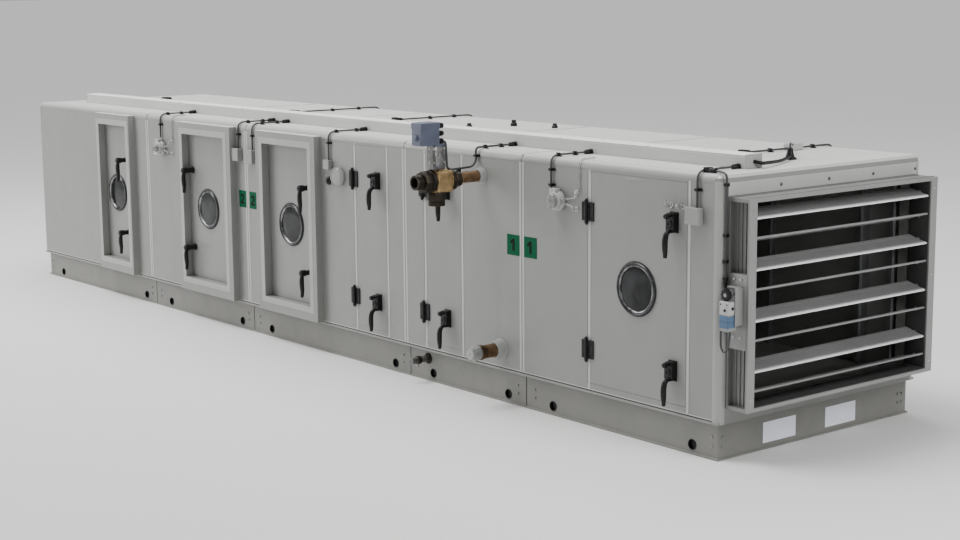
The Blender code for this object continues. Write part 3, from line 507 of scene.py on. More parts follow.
SEAM_Z = (FLOOR_LINE + 0.02, ROOF - EDGE_R - 0.0055)
STRIP_Y = by(FRONT, -1.5, 2)
seams, lips = [], []
for low, high in FLUSH.values():
    seams.append((slab, by(high.x, 7.5, 21.5), STRIP_Y, SEAM_Z))
    for span_z in ((SEAM_Z[0], low.z - 0.001), (high.z + 0.001, SEAM_Z[1])):
        seams.append((slab, by(low.x, 0.4, 16), STRIP_Y, span_z))
    for span_z in (by(low.z, -7.5, -0.6), by(high.z, 0.6, 7.5)):
        lips.append((slab, (low.x - 0.003, high.x + 0.005), by(FRONT, -0.8, 3), span_z))
for joint in JOINTS:
    for side in (-1, 1):
        span_x = by(joint, side * 4.5, side * 16.5)
        seams.append((slab, span_x, by(FRONT, -1.2, 2), SEAM_Z))
        seams.append((slab, span_x, by(REAR, -2, 1.2), SEAM_Z))
        seams.append((slab, span_x, (FRONT + 0.037, REAR - 0.037), by(ROOF, -2, 1.2)))
piece("panel_seams", SEAM, seams, 0.6)
piece("door_gap_lips", COATING, lips, 0.4)
for door, (low, high) in FLUSH.items():
    strip = (slab, by(low.x, 0.4, 16), STRIP_Y, (low.z + 0.0004, high.z - 0.0004))
    piece(f"door_edge_profile_{door}", SEAM, [strip], 0.6, f"door_{door}")

seals = []
for joint in JOINTS:
    gap = about(joint, 1.2)
    for span_y in (by(FRONT, 4, 45), by(REAR, -45, -4)):
        seals.append((slab, gap, span_y, (FLOOR_LINE + 0.002, ROOF - 0.004)))
    for span_z in (by(FLOOR_LINE, 2, 45), by(ROOF, -45, -4)):
        seals.append((slab, gap, (FRONT + 0.046, REAR - 0.046), span_z))
    for _, face, step in SIDES:
        seals.append((slab, about(joint, 4.2), by(face, step * 0.6, -step * 2), SEAM_Z))
piece("joint_seals", GASKET, seals, 0.3)

seals = []
for low, high in FLUSH.values():
    for span_x, face_y in (
        (by(low.x, -3.5, -0.8), FRONT + 0.0015), (by(high.x, 1.2, 7), FRONT - 0.0004),
    ):
        seals.append((slab, span_x, (face_y, FRONT + 0.046), (low.z - 0.003, high.z + 0.003)))
    for span_z in (by(low.z, -3.5, -0.8), by(high.z, 0.8, 3.5)):
        seals.append((slab, (low.x - 0.003, high.x + 0.005), by(FRONT, 1.2, 46), span_z))
for low, high in FRAMED.values():
    for span_x in (by(low.x, 4, 11), by(high.x, -11, -4)):
        seals.append((slab, span_x, by(low.y, -4.5, -0.6), (low.z + 0.004, high.z - 0.004)))
piece("door_seals", GASKET, seals, 0.4)

# A sill strip, above it a dark strip of painted shade standing in for a groove, and a light lip over that run
# along the foot of the casing
for name, look, reach, stand_off, low_z, high_z, bevel in (
    ("sill_strips", DOOR_COAT, END - 0.004, 1.2, -1.5, 9, 0.6),
    ("sill_groove_painted_shade", SHADOW_SEAL, END - EDGE_R - 0.005, 0.8, 9.1, 15, 0.3),
    ("sill_lip", SEAM, END - EDGE_R - 0.005, 1.6, 15.1, 19.5, 0.6),
):
    strips = [
        (slab, (-reach, reach), by(face, step * stand_off, -step * 20), by(FLOOR_LINE, low_z, high_z))
        for _, face, step in SIDES
    ]
    piece(name, look, strips, bevel, slot="casing_coating")
# A dark strip along the top of the base is painted shadow, where the casing's foot shades it
piece("base_painted_shadow_line", SHADOW_SEAL, [
    (slab, (-BASE_END, BASE_END), by(face, step * 6, -step), by(FLOOR_LINE, -9, -2))
    for face, step in ((BASE_FRONT, -1), (-BASE_FRONT, 1))
], 0.8, slot="base_coating")

# Raised frames of doors 1 to 3: inner lip and outer step
for door, (low, high) in FRAMED.items():
    face = FRONT - 0.045
    lips = [
        (slab, span_x, by(face, -1.2, 3), (low.z - 0.02, high.z + 0.02))
        for span_x in (by(low.x, -22, 11.5), by(high.x, -11.5, 22))
    ]
    lips += [
        (slab, (low.x - 0.0205, high.x + 0.0205), by(face, -1.3, 3), span_z)
        for span_z in (by(low.z, -22, 11.5), by(high.z, -11.5, 22))
    ]
    piece(f"frame_lip_{door}", TRIM, lips, 0.8)

# ---------------------------------------------------------------- windows

WINDOWS = {"1": -2.083, "2": -0.925, "3": -0.016, "c": 2.73}
RIM_PROFILE = (
    (103.5, 0.2), (118.5, 0.2), (119, 3), (117.8, 7.5), (115, 10.5), (111.5, 11),
    (108.5, 9.5), (107.2, 6.2), (106.6, 1), (106.4, -6), (106.4, -34), (108, -34),
)
PANE_PROFILE = (
    (0, 4), (30, 3.8), (60, 3.1), (85, 2), (96.2, 0.8), (96.2, -3),
    (85, -2.4), (60, -1.4), (30, -0.8), (0, -0.6),
)
BEZEL_PROFILE = (
    (96.6, -4), (96.6, 1), (98, 4.5), (101, 7.2), (104.5, 8), (106.1, 6.2),
    (106.1, -4),
)
SPACER_PROFILE = (
    (80, 8), (84, 6.5), (96, 5.5), (96.3, 7.5), (96.3, 20), (84, 20),
)
GASKET_PROFILE = (118.5, 0), (121.8, 0), (122.2, 1.8), (120.5, 3), (118.5, 2.2)
RIM_SCREWS_R = 0.1125
for door, centre_x in WINDOWS.items():
    body = f"door_{door}"
    low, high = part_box(f"porthole_{door}")
    centre = Vector((centre_x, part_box(body)[0].y, (low.z + high.z) / 2))
    ring = [(lathe, RIM_PROFILE, centre, OUT, 64)]
    for angle in turns(8, 0.5):
        offset = Vector((math.cos(angle) * RIM_SCREWS_R, -0.0108, math.sin(angle) * RIM_SCREWS_R))
        ring.append((screw, centre + offset, OUT, 3.2, 1.4))
    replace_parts(piece(f"window_rim_{door}", RIM, ring, 0, body, "window_glazing"), f"porthole_{door}")
    for pane_name, depth in (("outer", 0), ("inner", 0.028)):
        pane = (lathe, PANE_PROFILE, centre + Vector((0, depth, 0)), OUT, 64)
        piece(f"window_pane_{pane_name}_{door}", GLASS, [pane], 0, body)
    piece(f"window_bezel_{door}", SPACER, [(lathe, BEZEL_PROFILE, centre, OUT, 64)], 0, body)
    piece(f"window_spacer_{door}", SPACER, [(lathe, SPACER_PROFILE, centre, BACK, 64)], 0.6, body)
    gasket = (lathe, GASKET_PROFILE, centre, OUT, 64)
    piece(f"window_gasket_{door}", SHADOW_SEAL, [gasket], 0, body, "window_glazing")

# ---------------------------------------------------------------- hinges and handles

PIN_CAP = (5.5, -1), (5.5, 4), (3.5, 6.5), (0, 6.5)
PIN_BAND = (8.2, -1.2), (9.3, -0.8), (9.3, 0.8), (8.2, 1.2)
for door in "abc":
    body = f"door_{door}"
    leaves, screws, fixed = [], [], []
    for place in ("lower", "upper"):
        low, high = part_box(f"hinge_{door}_{place}")
        pin_x, pin_y, middle_z = high.x - 0.0085, FRONT - 0.011, (low.z + high.z) / 2
        leaves.append((slab, by(pin_x, 10.5, 39), by(FRONT, -6.5, -0.4), about(middle_z, 42)))
        for at_z in about(middle_z, 26):
            screws.append((screw, (pin_x + 0.026, FRONT - 0.0065, at_z), OUT, 4.8, 2.2))
            leaves.append((screw, (pin_x + 0.026, FRONT - 0.006, at_z), OUT, 7.5, 1.2))
            fixed.append((screw, (pin_x - 0.026, FRONT - 0.006, at_z), OUT, 4.8, 2.2))
        fixed += [(lathe, PIN_CAP, (pin_x, pin_y, z), axis, 16) for z, axis in ((low.z, DOWN), (high.z, UP))]
        fixed += [(lathe, PIN_BAND, (pin_x, pin_y, band_z), UP, 20) for band_z in about(middle_z, 18)]
    piece(f"hinge_leaves_{door}", BLACK, leaves, 1.2, body)
    piece(f"hinge_screws_{door}", BLACK, screws, 0, body)
    piece(f"hinge_fittings_{door}", BLACK, fixed)


def grip_taper(along):
    """Slim at the neck, full in the palm, rounded off at the tip."""
    if along > 0.97:
        return 0.62
    return 0.74 + 0.26 * math.sin(math.pi * min(1.0, along * 1.15)) ** 0.6


FLUSH_HUB = (16.5, 0), (16.5, 2), (13.5, 4.5), (7.5, 4.5), (6.8, 1.5), (0, 1.5)
FLUSH_KNOB = (0, 0), (8.5, 0), (11.8, 4), (11.8, 14), (9, 19), (0, 20.5)
FLUSH_GRIP = (
    (-0.034, -0.036), (-0.05, -0.046), (-0.0565, -0.07), (-0.0575, -0.1), (-0.0545, -0.128),
    (-0.0555, -0.147),
)
FRAMED_ROSE = (21, 0), (21.5, 3), (19, 6), (16.5, 6.5), (0, 6.5)
FRAMED_KNOB = (
    (0, 0), (16.5, 0), (17.8, 3), (18.5, 26), (16.5, 34), (10, 38), (0, 38.5),
)
FRAMED_GRIP = (-0.064, -0.008), (-0.0685, -0.03), (-0.069, -0.06), (-0.066, -0.095), (-0.0685, -0.134)
for door in "abc123":
    flush = door in FLUSH
    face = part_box(f"door_{door}")[0].y
    for place in ("lower", "upper"):
        node = f"handle_{door}_{place}"
        low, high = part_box(node)
        x, z = (low.x + high.x) / 2, high.z - (0.042 if flush else 0.016)
        if flush:
            rose = [
                (slab, about(x, 25.5), by(face, -4.2, -0.5), about(z, 44.5)),
                (lathe, FLUSH_HUB, (x, face - 0.03, z - 0.004), OUT, 28),
            ]
            knob = (lathe, FLUSH_KNOB, (x, face - 0.041, z + 0.029), OUT, 24)
        else:
            rose = [(lathe, FRAMED_ROSE, (x, face - 0.0005, z), OUT, 32)]
            knob = (lathe, FRAMED_KNOB, (x, face - 0.042, z), OUT, 32)
        piece(f"rose_{door}_{place}", BLACK, rose, 1.2, node)
        piece(f"knob_{door}_{place}", BLACK, [knob], 0.6, node)
        route = [(x, face + dy, z + dz) for dy, dz in (FLUSH_GRIP if flush else FRAMED_GRIP)]
        width = 0.0128 if flush else 0.0135
        pipe(f"grip_{door}_{place}", route, width, BLACK, node, bend=0.02, taper=grip_taper)

# ---------------------------------------------------------------- base fittings

BOLT_Z, HOLE_Z = 0.078, 0.042
GROMMET = (
    (20.5, 0.6), (23.2, 0.6), (23.8, 1.8), (22.5, 3.2), (20.5, 2.4), (20.5, -10),
    (21.8, -10),
)
HOLE_BACK = capped((21.4, -9.5), (21.4, -11.2))
base_spans = zip([START, *[joint + 0.0015 for joint in JOINTS]], [*[joint - 0.0015 for joint in JOINTS], END])
hole_xs = [
    x for n, (low, high) in enumerate(base_spans)
    for x in (low + (0.23 if n == 0 else 0.19), high - (0.17 if n == 4 else 0.13))
]
bolts, grommets, splices = [], [], []
for face, axis, step in ((BASE_FRONT, OUT, -1), (-BASE_FRONT, BACK, 1)):
    for joint in JOINTS:
        bolts += [
            (hexagon, (x, face, z), axis, 10, 5) for x in about(joint, 62) for z in about(BOLT_Z, 19)
        ]
        splices.append((slab, about(joint, 2.6), by(face, step * 0.8, -step * 2), (0.009, 0.15)))
    for x in (0.032 - BASE_END, BASE_END - 0.032):
        bolts += [(hexagon, (x, face, z), axis, 10, 5) for z in about(BOLT_Z, 20)]
    for x in hole_xs:
        grommets += [(lathe, profile, (x, face, HOLE_Z), axis, 32) for profile in (GROMMET, HOLE_BACK)]
for x, axis in ((-BASE_END, (-1, 0, 0)), (BASE_END, RIGHT)):
    for y in (BASE_FRONT + 0.03, -BASE_FRONT - 0.03, -BASE_FRONT - 0.06):
        bolts += [(hexagon, (x, y, z), axis, 10, 5) for z in about(BOLT_Z, 20)]
piece("base_bolts", GALVANISED, bolts, 0.4)
piece("lift_hole_grommets", BLACK, grommets)
piece("base_splices", SHADOW_SEAL, splices, 0.5, slot="base_coating")
piece("blank_labels", LABEL, [
    (slab, by(BASE_END, 0.2, 1.2), span_y, (0.026, 0.118)) for span_y in ((-0.352, -0.141), (0.059, 0.267))
], 0.4)

# ---------------------------------------------------------------- signs and plates

SIGN_Z = 0.777
FIGURES = {
    "1": (
        (-0.006, -0.03), (0.009, -0.03), (0.009, 0.031), (-0.003, 0.031), (-0.021, 0.018), (-0.021, 0.004),
        (-0.006, 0.012),
    ),
    "2": (
        (-0.021, -0.031), (0.02, -0.031), (0.02, -0.019), (-0.002, -0.019), (0.016, -0.001), (0.02, 0.01),
        (0.017, 0.023), (0.006, 0.031), (-0.007, 0.031), (-0.017, 0.025), (-0.02, 0.012), (-0.008, 0.01),
        (-0.004, 0.019), (0.003, 0.019), (0.007, 0.012), (0.004, 0.004), (-0.021, -0.021),
    ),
}
SIGNS = ("1", 1.905, 46), ("1", 2.0265, 45.5), ("2", -0.522, 39), ("2", -0.411, 37)
for number, (text, centre_x, half) in enumerate(SIGNS, 1):
    board = (slab, about(centre_x, half), by(FRONT, -1.8, -0.2), about(SIGN_Z, 49))
    piece(f"section_sign_{number}", GREEN, [board], 0.6)
    outline = [(centre_x + x * 0.95, SIGN_Z + z * 0.95) for x, z in FIGURES[text]]
    figure = (prism, outline, "Y", FRONT - 0.0028, FRONT - 0.0016)
    piece(f"sign_figure_{number}", INK, [figure], 0.2, segments=1)
plate = (slab, (2.655, 2.755), by(FRONT, -1.2, -0.2), (1.146, 1.161))
piece("blank_plate_c", PLATE, [plate], 0.5, "door_c")

# ---------------------------------------------------------------- conduits, boxes and switches

PIPE_R = 0.0052
LIFT = 0.0095               # centre of a clipped conduit from the face behind it
TRUNK_FACE = TRUNK_LOW.y
ROOF_PIPE_Z = ROOF + LIFT


def clip(bm, place, along, normal):
    """A saddle clip around a conduit with a screwed foot."""
    place, along, normal = Vector(place), Vector(along), Vector(normal)
    across = along.cross(normal)
    for centre, half in (
        (place, (0.006, 0.0092, LIFT - 0.0003)),
        (place + across * 0.013 - normal * (LIFT - 0.003), (0.0055, 0.008, 0.0025)),
    ):
        made = bmesh.ops.create_cube(bm, size=2.0)["verts"]
        turn = Matrix((along * half[0], across * half[1], normal * half[2])).transposed().to_4x4()
        bmesh.ops.transform(bm, matrix=Matrix.Translation(centre) @ turn, verts=made)
    screw(bm, place + across * 0.0145 - normal * (LIFT - 0.0055), normal, 3.5, 2)


# Up the front panel, over the roof edge and back into a gland on the trunk
for name, x, bottom, front_clips, roof_clips in (
    ("conduit_switch_m2", -1.46, 1.075, (1.155,), (-0.615, -0.52)),
    ("conduit_box_2a", -0.541, 1.066, (1.15,), (-0.6, -0.5)),
    ("conduit_box_2b", -0.388, 1.066, (1.15,), (-0.6, -0.5)),
    ("conduit_gauge", 0.386, 1.062, (1.16,), (-0.618, -0.487)),
    ("conduit_switch_m5", 2.182, 1.062, (1.085, 1.155), (-0.625, -0.524)),
    ("conduit_box_c", 3.093, 1.062, (1.14,), (-0.592,)),
):
    y, z = FRONT - LIFT, ROOF_PIPE_Z
    pipe(name, ((x, y, bottom), (x, y, z), (x, TRUNK_FACE - 0.035, z)), PIPE_R, CONDUIT, bend=0.045)
    piece(f"{name}_fittings", BLACK, [
        *[(clip, (x, y, clip_z), UP, OUT) for clip_z in front_clips],
        *[(clip, (x, clip_y, z), BACK, UP) for clip_y in roof_clips],
        (gland, (x, TRUNK_FACE, z), OUT, 11.5, 46),
    ], 1.2)

for name, low_x, high_x, low_z, high_z, depth in (
    ("junction_box_2a", -0.606, -0.515, 0.998, 1.068, 0.034),
    ("junction_box_2b", -0.447, -0.362, 0.992, 1.068, 0.034),
    ("junction_box_c", 3.045, 3.122, 0.996, 1.066, 0.034),
    ("gauge_box", 0.358, 0.408, 1.02, 1.068, 0.03),
):
    face = FRONT - depth
    lid_x, lid_z = (low_x - 0.0015, high_x + 0.0015), (low_z - 0.0015, high_z + 0.0015)
    piece(name, BOX_GREY, [
        (slab, (low_x, high_x), (FRONT - depth * 0.6, FRONT - 0.0003), (low_z, high_z)),
        (slab, lid_x, (face, FRONT - depth * 0.62), lid_z),
    ], 3, segments=3)
    piece(f"{name}_screws", STEEL, [
        (screw, (x, face, z), OUT, 3.8, 1.5)
        for x in (low_x + 0.009, high_x - 0.009) for z in (low_z + 0.009, high_z - 0.009)
    ])

# A round switch on a bracket, with two short clear hoses to ports in the panel
SWITCH_BODY = capped(
    (40, 4), (46, 8), (46, 20), (41, 26), (41, 40), (38.5, 44),
)
SWITCH_CAP = capped((34, 44.5), (34.5, 58), (31, 62.5))
SWITCH_DIAL = (6, 44.5), (12, 45), (12, 54), (8, 56), (0, 56)
PANEL_PORT = capped((13, 0), (13, 4), (6, 6), (4.2, 16))
for name, x, z in (("pressure_switch_m2", -1.455, 1.01), ("pressure_switch_m5", 2.232, 1.018)):
    at, port_x, hose_y = (x, FRONT, z), x + 0.115, FRONT - 0.028
    piece(name, WHITE, [
        (lathe, SWITCH_BODY, at, OUT), (slab, by(x, -30, 12), by(FRONT, -40, -10), by(z, 20, 56)),
    ], 1.5)
    piece(f"{name}_cap", CLEAR, [(lathe, SWITCH_CAP, at, OUT)], 1)
    piece(f"{name}_dial", RIM, [(lathe, SWITCH_DIAL, at, OUT, 24)], 0.5)
    piece(f"{name}_ports", WHITE, [
        *[(lathe, PANEL_PORT, (port_x, FRONT, port_z), OUT, 20) for port_z in (z + 0.045, z - 0.03)],
        *[(rod, (x + 0.04, hose_y, end_z), (x + 0.055, hose_y, end_z), 0.0042, 12) for end_z in about(z, 12)],
    ], 0.6)
    for hose, stub_z, port_z, belly in (
        ("high", z + 0.012, z + 0.045, 0.1), ("low", z - 0.012, z - 0.03, 0.085),
    ):
        pipe(f"{name}_hose_{hose}", (
            (x + 0.05, hose_y, stub_z), (x + belly, FRONT - 0.034, stub_z + 0.006),
            (x + belly + 0.055, FRONT - 0.04, (stub_z + port_z) / 2),
            (x + belly + 0.035, FRONT - 0.032, port_z + 0.008), (port_x, FRONT - 0.026, port_z),
            (port_x, FRONT - 0.01, port_z),
        ), 0.0038, CLEAR)
    up_x, up_y, up_z = port_x + 0.02, FRONT - 0.006, ROOF + 0.005
    route = (up_x, up_y, z + 0.05), (up_x, up_y, up_z), (up_x, FRONT + 0.09, up_z)
    pipe(f"{name}_hose_roof", route, 0.003, CLEAR, bend=0.035)

GAUGE = (0.475, FRONT, 0.985)
piece("disc_gauge", CLEAR, [
    (lathe, capped((48, 0), (52, 4), (52, 26), (47, 32)), GAUGE, OUT, 48),
], 1)
piece("disc_gauge_core", WHITE, [
    (lathe, capped((44, 0), (44, 10), (30, 14), (10, 14), (8, 20)), GAUGE, OUT, 48),
], 0.8)
port = capped((21, 0), (23, 4), (21, 12), (12, 15), (10, 22))
piece("gauge_port", BLACK, [(lathe, port, (0.376, FRONT, 0.956), OUT, 32)], 0.8)
pipe("gauge_hose", (
    (0.384, FRONT - 0.012, 1.022), (0.384, FRONT - 0.022, 0.99), (0.376, FRONT - 0.03, 0.975),
    (0.376, FRONT - 0.018, 0.956),
), 0.0035, CLEAR, bend=0.02)

TEST_POINT = capped(
    (14, 0), (14, 6), (9, 9), (8, 20), (10.5, 22), (10.5, 32), (6, 36),
)
test_points = []
for x in (2.932, 2.998):
    test_points.append((lathe, TEST_POINT, (x, FRONT, 1.062), OUT, 24))
    test_points.append((rod, (x, FRONT - 0.027, 1.062), (x, FRONT - 0.027, 1.092), 0.0035, 12))
piece("test_points_c", CLEAR, test_points, 0.8, "door_c")

# ---------------------------------------------------------------- intake end

piece("fascia_screws", YOKE, [
    (screw, (END + 0.0035, y, 1.146), RIGHT, 7.5, 3.5) for y in (-0.3, 0.01, 0.31, 0.61)
])
piece("fascia_strip", SEAM, [
    (slab, by(END, 0, 3.5), (FRONT + 0.04, REAR - 0.04), (DAMPER_HIGH.z + 0.003, ROOF - EDGE_R - 0.003)),
], 1.2)

DAMPER_FRONT = DAMPER_HIGH.x
OPENING_Y = 0.5765
MOUNT_LOW, MOUNT_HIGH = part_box("damper_actuator")
full_span = (DAMPER_LOW.z + 0.017, DAMPER_HIGH.z - 0.017)
actuator_spans = (full_span[0], MOUNT_LOW.z - 0.001), (MOUNT_HIGH.z + 0.001, full_span[1])
ribs = [
    (slab, about(END + offset, 3), (side * 0.5875, side * 0.594), span_z)
    for side, spans in ((-1, actuator_spans), (1, (full_span,))) for span_z in spans
    for offset in (0.03, 0.052, 0.074, 0.092)
]
inner_y = (DAMPER_LOW.y + 0.001, DAMPER_HIGH.y - 0.001)
ribs += [
    (slab, about(END + offset, 3), inner_y, by(z, step * 3, -step * 2))
    for z, step in ((DAMPER_LOW.z, -1), (DAMPER_HIGH.z, 1)) for offset in (0.018, 0.1)
]
piece("damper_ribs", DAMPER_COAT, ribs, 0.8)

# Dark strips of painted shade line the inside of the jambs, where the blade ends turn, and the floor of the
# opening
jamb_x, jamb_z = (END + 0.006, DAMPER_FRONT - 0.006), (DAMPER_LOW.z + 0.02, DAMPER_HIGH.z - 0.02)
piece("damper_jamb_painted_shade", SHADOW_SEAL, [
    *[(slab, jamb_x, (side * 0.5733, side * 0.5756), jamb_z) for side in (-1, 1)],
    (slab, jamb_x, (-0.572, 0.572), (0.2434, 0.2448)),
], 0.4, slot="black_plastic")
flange_z = (DAMPER_LOW.z - 0.001, DAMPER_HIGH.z + 0.001)
piece("damper_flange", FLANGE, [
    *[
        (slab, by(DAMPER_FRONT, -3, 1.5), (side * OPENING_Y, side * (DAMPER_HIGH.y + 0.001)), flange_z)
        for side in (-1, 1)
    ],
    *[
        (slab, by(DAMPER_FRONT, -3, 1.4), (-0.576, 0.576), span_z)
        for span_z in (by(DAMPER_LOW.z, -1, 14.5), by(DAMPER_HIGH.z, -14.5, 1))
    ],
], 0.8, slot="casing_coating")
piece("damper_screws", STEEL, [
    (screw, (DAMPER_FRONT + 0.0015, side * 0.598, z), RIGHT, 4.8, 2.4) for side in (-1, 1)
    for z in (DAMPER_LOW.z + 0.05, (DAMPER_LOW.z + DAMPER_HIGH.z) / 2, DAMPER_HIGH.z - 0.05)
])

BLADE_X, BLADES_MIDDLE_Z, BLADE_PITCH = END + 0.06, 0.6725, 0.107
BLADE_REST = math.radians(16)
NOSE_R = 0.0052
BLADE_PIN = capped((9, -2.5), (9, 0), (5.5, 1))
for number in range(1, 9):
    odd = number % 2
    pivot = Vector((BLADE_X, 0, BLADES_MIDDLE_Z + (4.5 - number) * BLADE_PITCH))
    turn = Matrix.Translation(pivot) @ Matrix.Rotation(BLADE_REST if odd else -BLADE_REST, 4, "Y")
    tips = []
    for sign in (1, -1):
        arc = [
            (sign * (0.0474 + math.cos(a) * NOSE_R), math.sin(a) * NOSE_R)
            for a in [math.pi * (step / 8 - 0.5) for step in range(9)]
        ]
        tips.append((prism, [*arc, (sign * 0.0375, 0.0038), (sign * 0.0375, -0.0038)], "Y", -0.57, 0.57))
    web = [
        (slab, about(rib_x, 2.5), (-0.5705, 0.5705), (face * 0.002, face * 0.0042))
        for rib_x in (-0.028, 0.028) for face in (-1, 1)
    ]
    web.append((lathe, BLADE_PIN, (0, 0.5745, 0), BACK, 20))
    # The odd blades' noses get the painted highlight; the even ones, tilted the other way, stay plain
    # aluminium
    for name, look, parts in (
        ("nose", NOSE_HIGHLIGHT if odd else ALUMINIUM, tips[:1]), ("tail", ALUMINIUM, tips[1:]),
        ("ribs", ALUMINIUM, web),
    ):
        piece(f"blade_{number}_{name}", look, parts, 0.3, f"damper_blade_{number}", turn=turn)

# Damper actuator: clamp cover, white and blue housings over the grey body, a held loop of cable
lead_z = BLADES_MIDDLE_Z + 0.5 * BLADE_PITCH
side_y = MOUNT_LOW.y
clamp = []
for angle in turns(10):
    at = Vector((BLADE_X + math.cos(angle) * 0.0215, side_y + 0.004, lead_z + math.sin(angle) * 0.0215))
    clamp.append((rod, at, at + Vector((0, 0.018, 0)), 0.0032, 8))
clamp.append((lathe, (
    (9.5, 0), (22.5, 0), (22.5, 14), (18.5, 18), (9.5, 18),
), (BLADE_X, side_y + 0.022, lead_z), OUT, 32))
piece("actuator_clamp", BLACK, clamp, 0.8, "damper_blade_4")
shell_x = about(BLADE_X, 26.2)
piece("actuator_upper_shell", WHITE, [
    (slab, shell_x, by(side_y, -2, 46.5), by(lead_z, -83, -25.5)),
], 5, slot="actuator_body", segments=3)
piece("actuator_buttons", BLACK, [
    (lathe, capped((6, 0), (6, 3), (3.5, 4)), (BLADE_X + 0.006, side_y - 0.002, lead_z - 0.062), OUT, 20),
    *[(screw, (x, side_y - 0.002, lead_z - 0.038), OUT, 3.4, 1.6) for x in about(BLADE_X, 17)],
    (lathe, capped((7, 0), (7, 2)), (BLADE_X + 0.0262, side_y + 0.022, lead_z - 0.055), RIGHT, 20),
])
piece("actuator_lower_shell", BLUE, [
    (slab, shell_x, by(side_y, -3.2, 46.5), by(lead_z, -138, -83.5)),
    (slab, about(BLADE_X, 19), by(side_y, 3, 41.5), by(lead_z, -153, -136)),
], 6, segments=3)
piece("actuator_seam", SHADOW_SEAL, [
    (slab, about(BLADE_X, 26.6), by(side_y, -3.6, 46.5), by(lead_z, -110.5, -109)),
], 0.4, slot="actuator_body")
back_y = MOUNT_HIGH.y - 0.002
piece("actuator_bracket", FLANGE, [
    (slab, by(BLADE_X, 26.8, 32), (-0.668, back_y), by(lead_z, -130, 30)),
    (slab, by(BLADE_X, -30, 32), (-0.652, back_y), by(lead_z, 25, 30)),
    (slab, by(BLADE_X, -30, 32), (-0.652, back_y), by(lead_z, -130, -125)),
], 1.5, slot="galvanised_sheet", segments=3)
piece("actuator_plate_bolts", STEEL, [
    (hexagon, (x, -0.6202, z), OUT, 8, 5)
    for z in (lead_z - 0.185, lead_z + 0.058) for x in about(BLADE_X, 18)
])

end_x, end_y = END + LIFT, FRONT + 0.02
pipe("conduit_actuator", (
    (3.115, FRONT + 0.0395, ROOF_PIPE_Z), (END - 0.03, FRONT + 0.03, ROOF_PIPE_Z),
    (end_x, end_y, ROOF + 0.002), (end_x, end_y, lead_z + 0.045),
), PIPE_R, CONDUIT, bend=0.04)
piece("conduit_actuator_fittings", BLACK, [
    *[(clip, (end_x, end_y, z), UP, RIGHT) for z in (1.17, 0.96, 0.852)],
    (gland, (end_x, end_y, lead_z + 0.06), DOWN, 9.5, 40),
    (gland, (3.155, FRONT + 0.034, ROOF_PIPE_Z), (-1, 0, 0), 10.5, 44),
    (slab, (3.095, 3.12), by(FRONT, 22, 54), by(ROOF, 0.4, 22)),
], 1.2)
pipe("conduit_actuator_loop", (
    (end_x, end_y, lead_z + 0.022), (end_x + 0.004, end_y - 0.02, lead_z - 0.055),
    (end_x + 0.004, end_y - 0.028, lead_z - 0.16), (END + 0.016, end_y - 0.03, lead_z - 0.226),
    (END + 0.036, end_y - 0.03, lead_z - 0.252), (END + 0.056, end_y - 0.026, lead_z - 0.222),
    (END + 0.06, end_y - 0.022, lead_z - 0.15),
), 0.0042, CONDUIT, bend=0.045)

# ---------------------------------------------------------------- control valve and coil pipes

VALVE_X, VALVE_Z, STEM_Y = 1.667, 1.08, -0.93
UPPER_PIPE, LOWER_PIPE = (1.667, 1.085), (1.806, 0.262)


def band(start, end, radius, sides, lip=3):
    """A turned band on the valve's line, its edges chamfered; sizes in mm."""
    length = end - start
    profile = capped((radius - lip, 0), (radius, lip), (radius, length - lip), (radius - lip, length))
    return lathe, profile, (VALVE_X, -start * MM, VALVE_Z), OUT, sides


piece("valve_unions", BRONZE, [
    band(797, 837.5, 38.5, 8), band(789, 798, 31, 32), band(837.5, 864, 54.8, 8), band(956, 977.5, 55.6, 8),
    (lathe, (
        (34, 0), (49.5, 0), (51.5, 4), (51.5, 40), (49, 45), (34, 45),
    ), (VALVE_X, -0.9765, VALVE_Z), OUT, 8),
    (lathe, (
        (33.2, 0), (35.2, 0), (35.2, 8), (34, 9.5), (35.2, 11), (35.2, 16),
        (34, 17.5), (35.2, 19), (35.2, 24), (34, 25.5), (35.2, 27), (35.2, 34),
        (34, 37.2), (26.4, 37.2), (25.4, 35.5), (25.4, -30), (25.9, -30),
    ), (VALVE_X, -1.022, VALVE_Z), OUT),
    (lathe, (
        (37.2, 0), (45.5, 0), (47.2, 4), (47.2, 33), (45, 37), (37.2, 37),
    ), (VALVE_X, STEM_Y, VALVE_Z - 0.052), DOWN, 8),
    (lathe, (
        (37.2, 0), (40.5, 0), (40.5, 6), (39.2, 7.5), (40.5, 9), (40.5, 14),
        (39.2, 15.5), (40.5, 17), (39.8, 27.5), (28.5, 27.5), (27.4, 26), (27.4, 0),
    ), (VALVE_X, STEM_Y, VALVE_Z - 0.0885), DOWN),
], 1)
piece("valve_casting", BRASS, [
    (slab, about(VALVE_X, 49.5), (-0.955, -0.8645), by(VALVE_Z, -51.5, 50.8)),
], 12, segments=4)
piece("valve_bands", BRASS, [
    *[band(start, start + 7, 52.8, 48, lip=1.5) for start in (864.5, 948.5)],
    (lathe, capped((31, 0), (33, 2), (33, 4.5), (29, 6)), (VALVE_X, STEM_Y, VALVE_Z + 0.0485), UP, 8),
], 0.6)
piece("valve_casting_bolts", BRONZE, [
    (hexagon, (x, y, VALVE_Z + 0.0506), UP, 10, 5) for x in about(VALVE_X, 30) for y in (-0.942, -0.878)
])

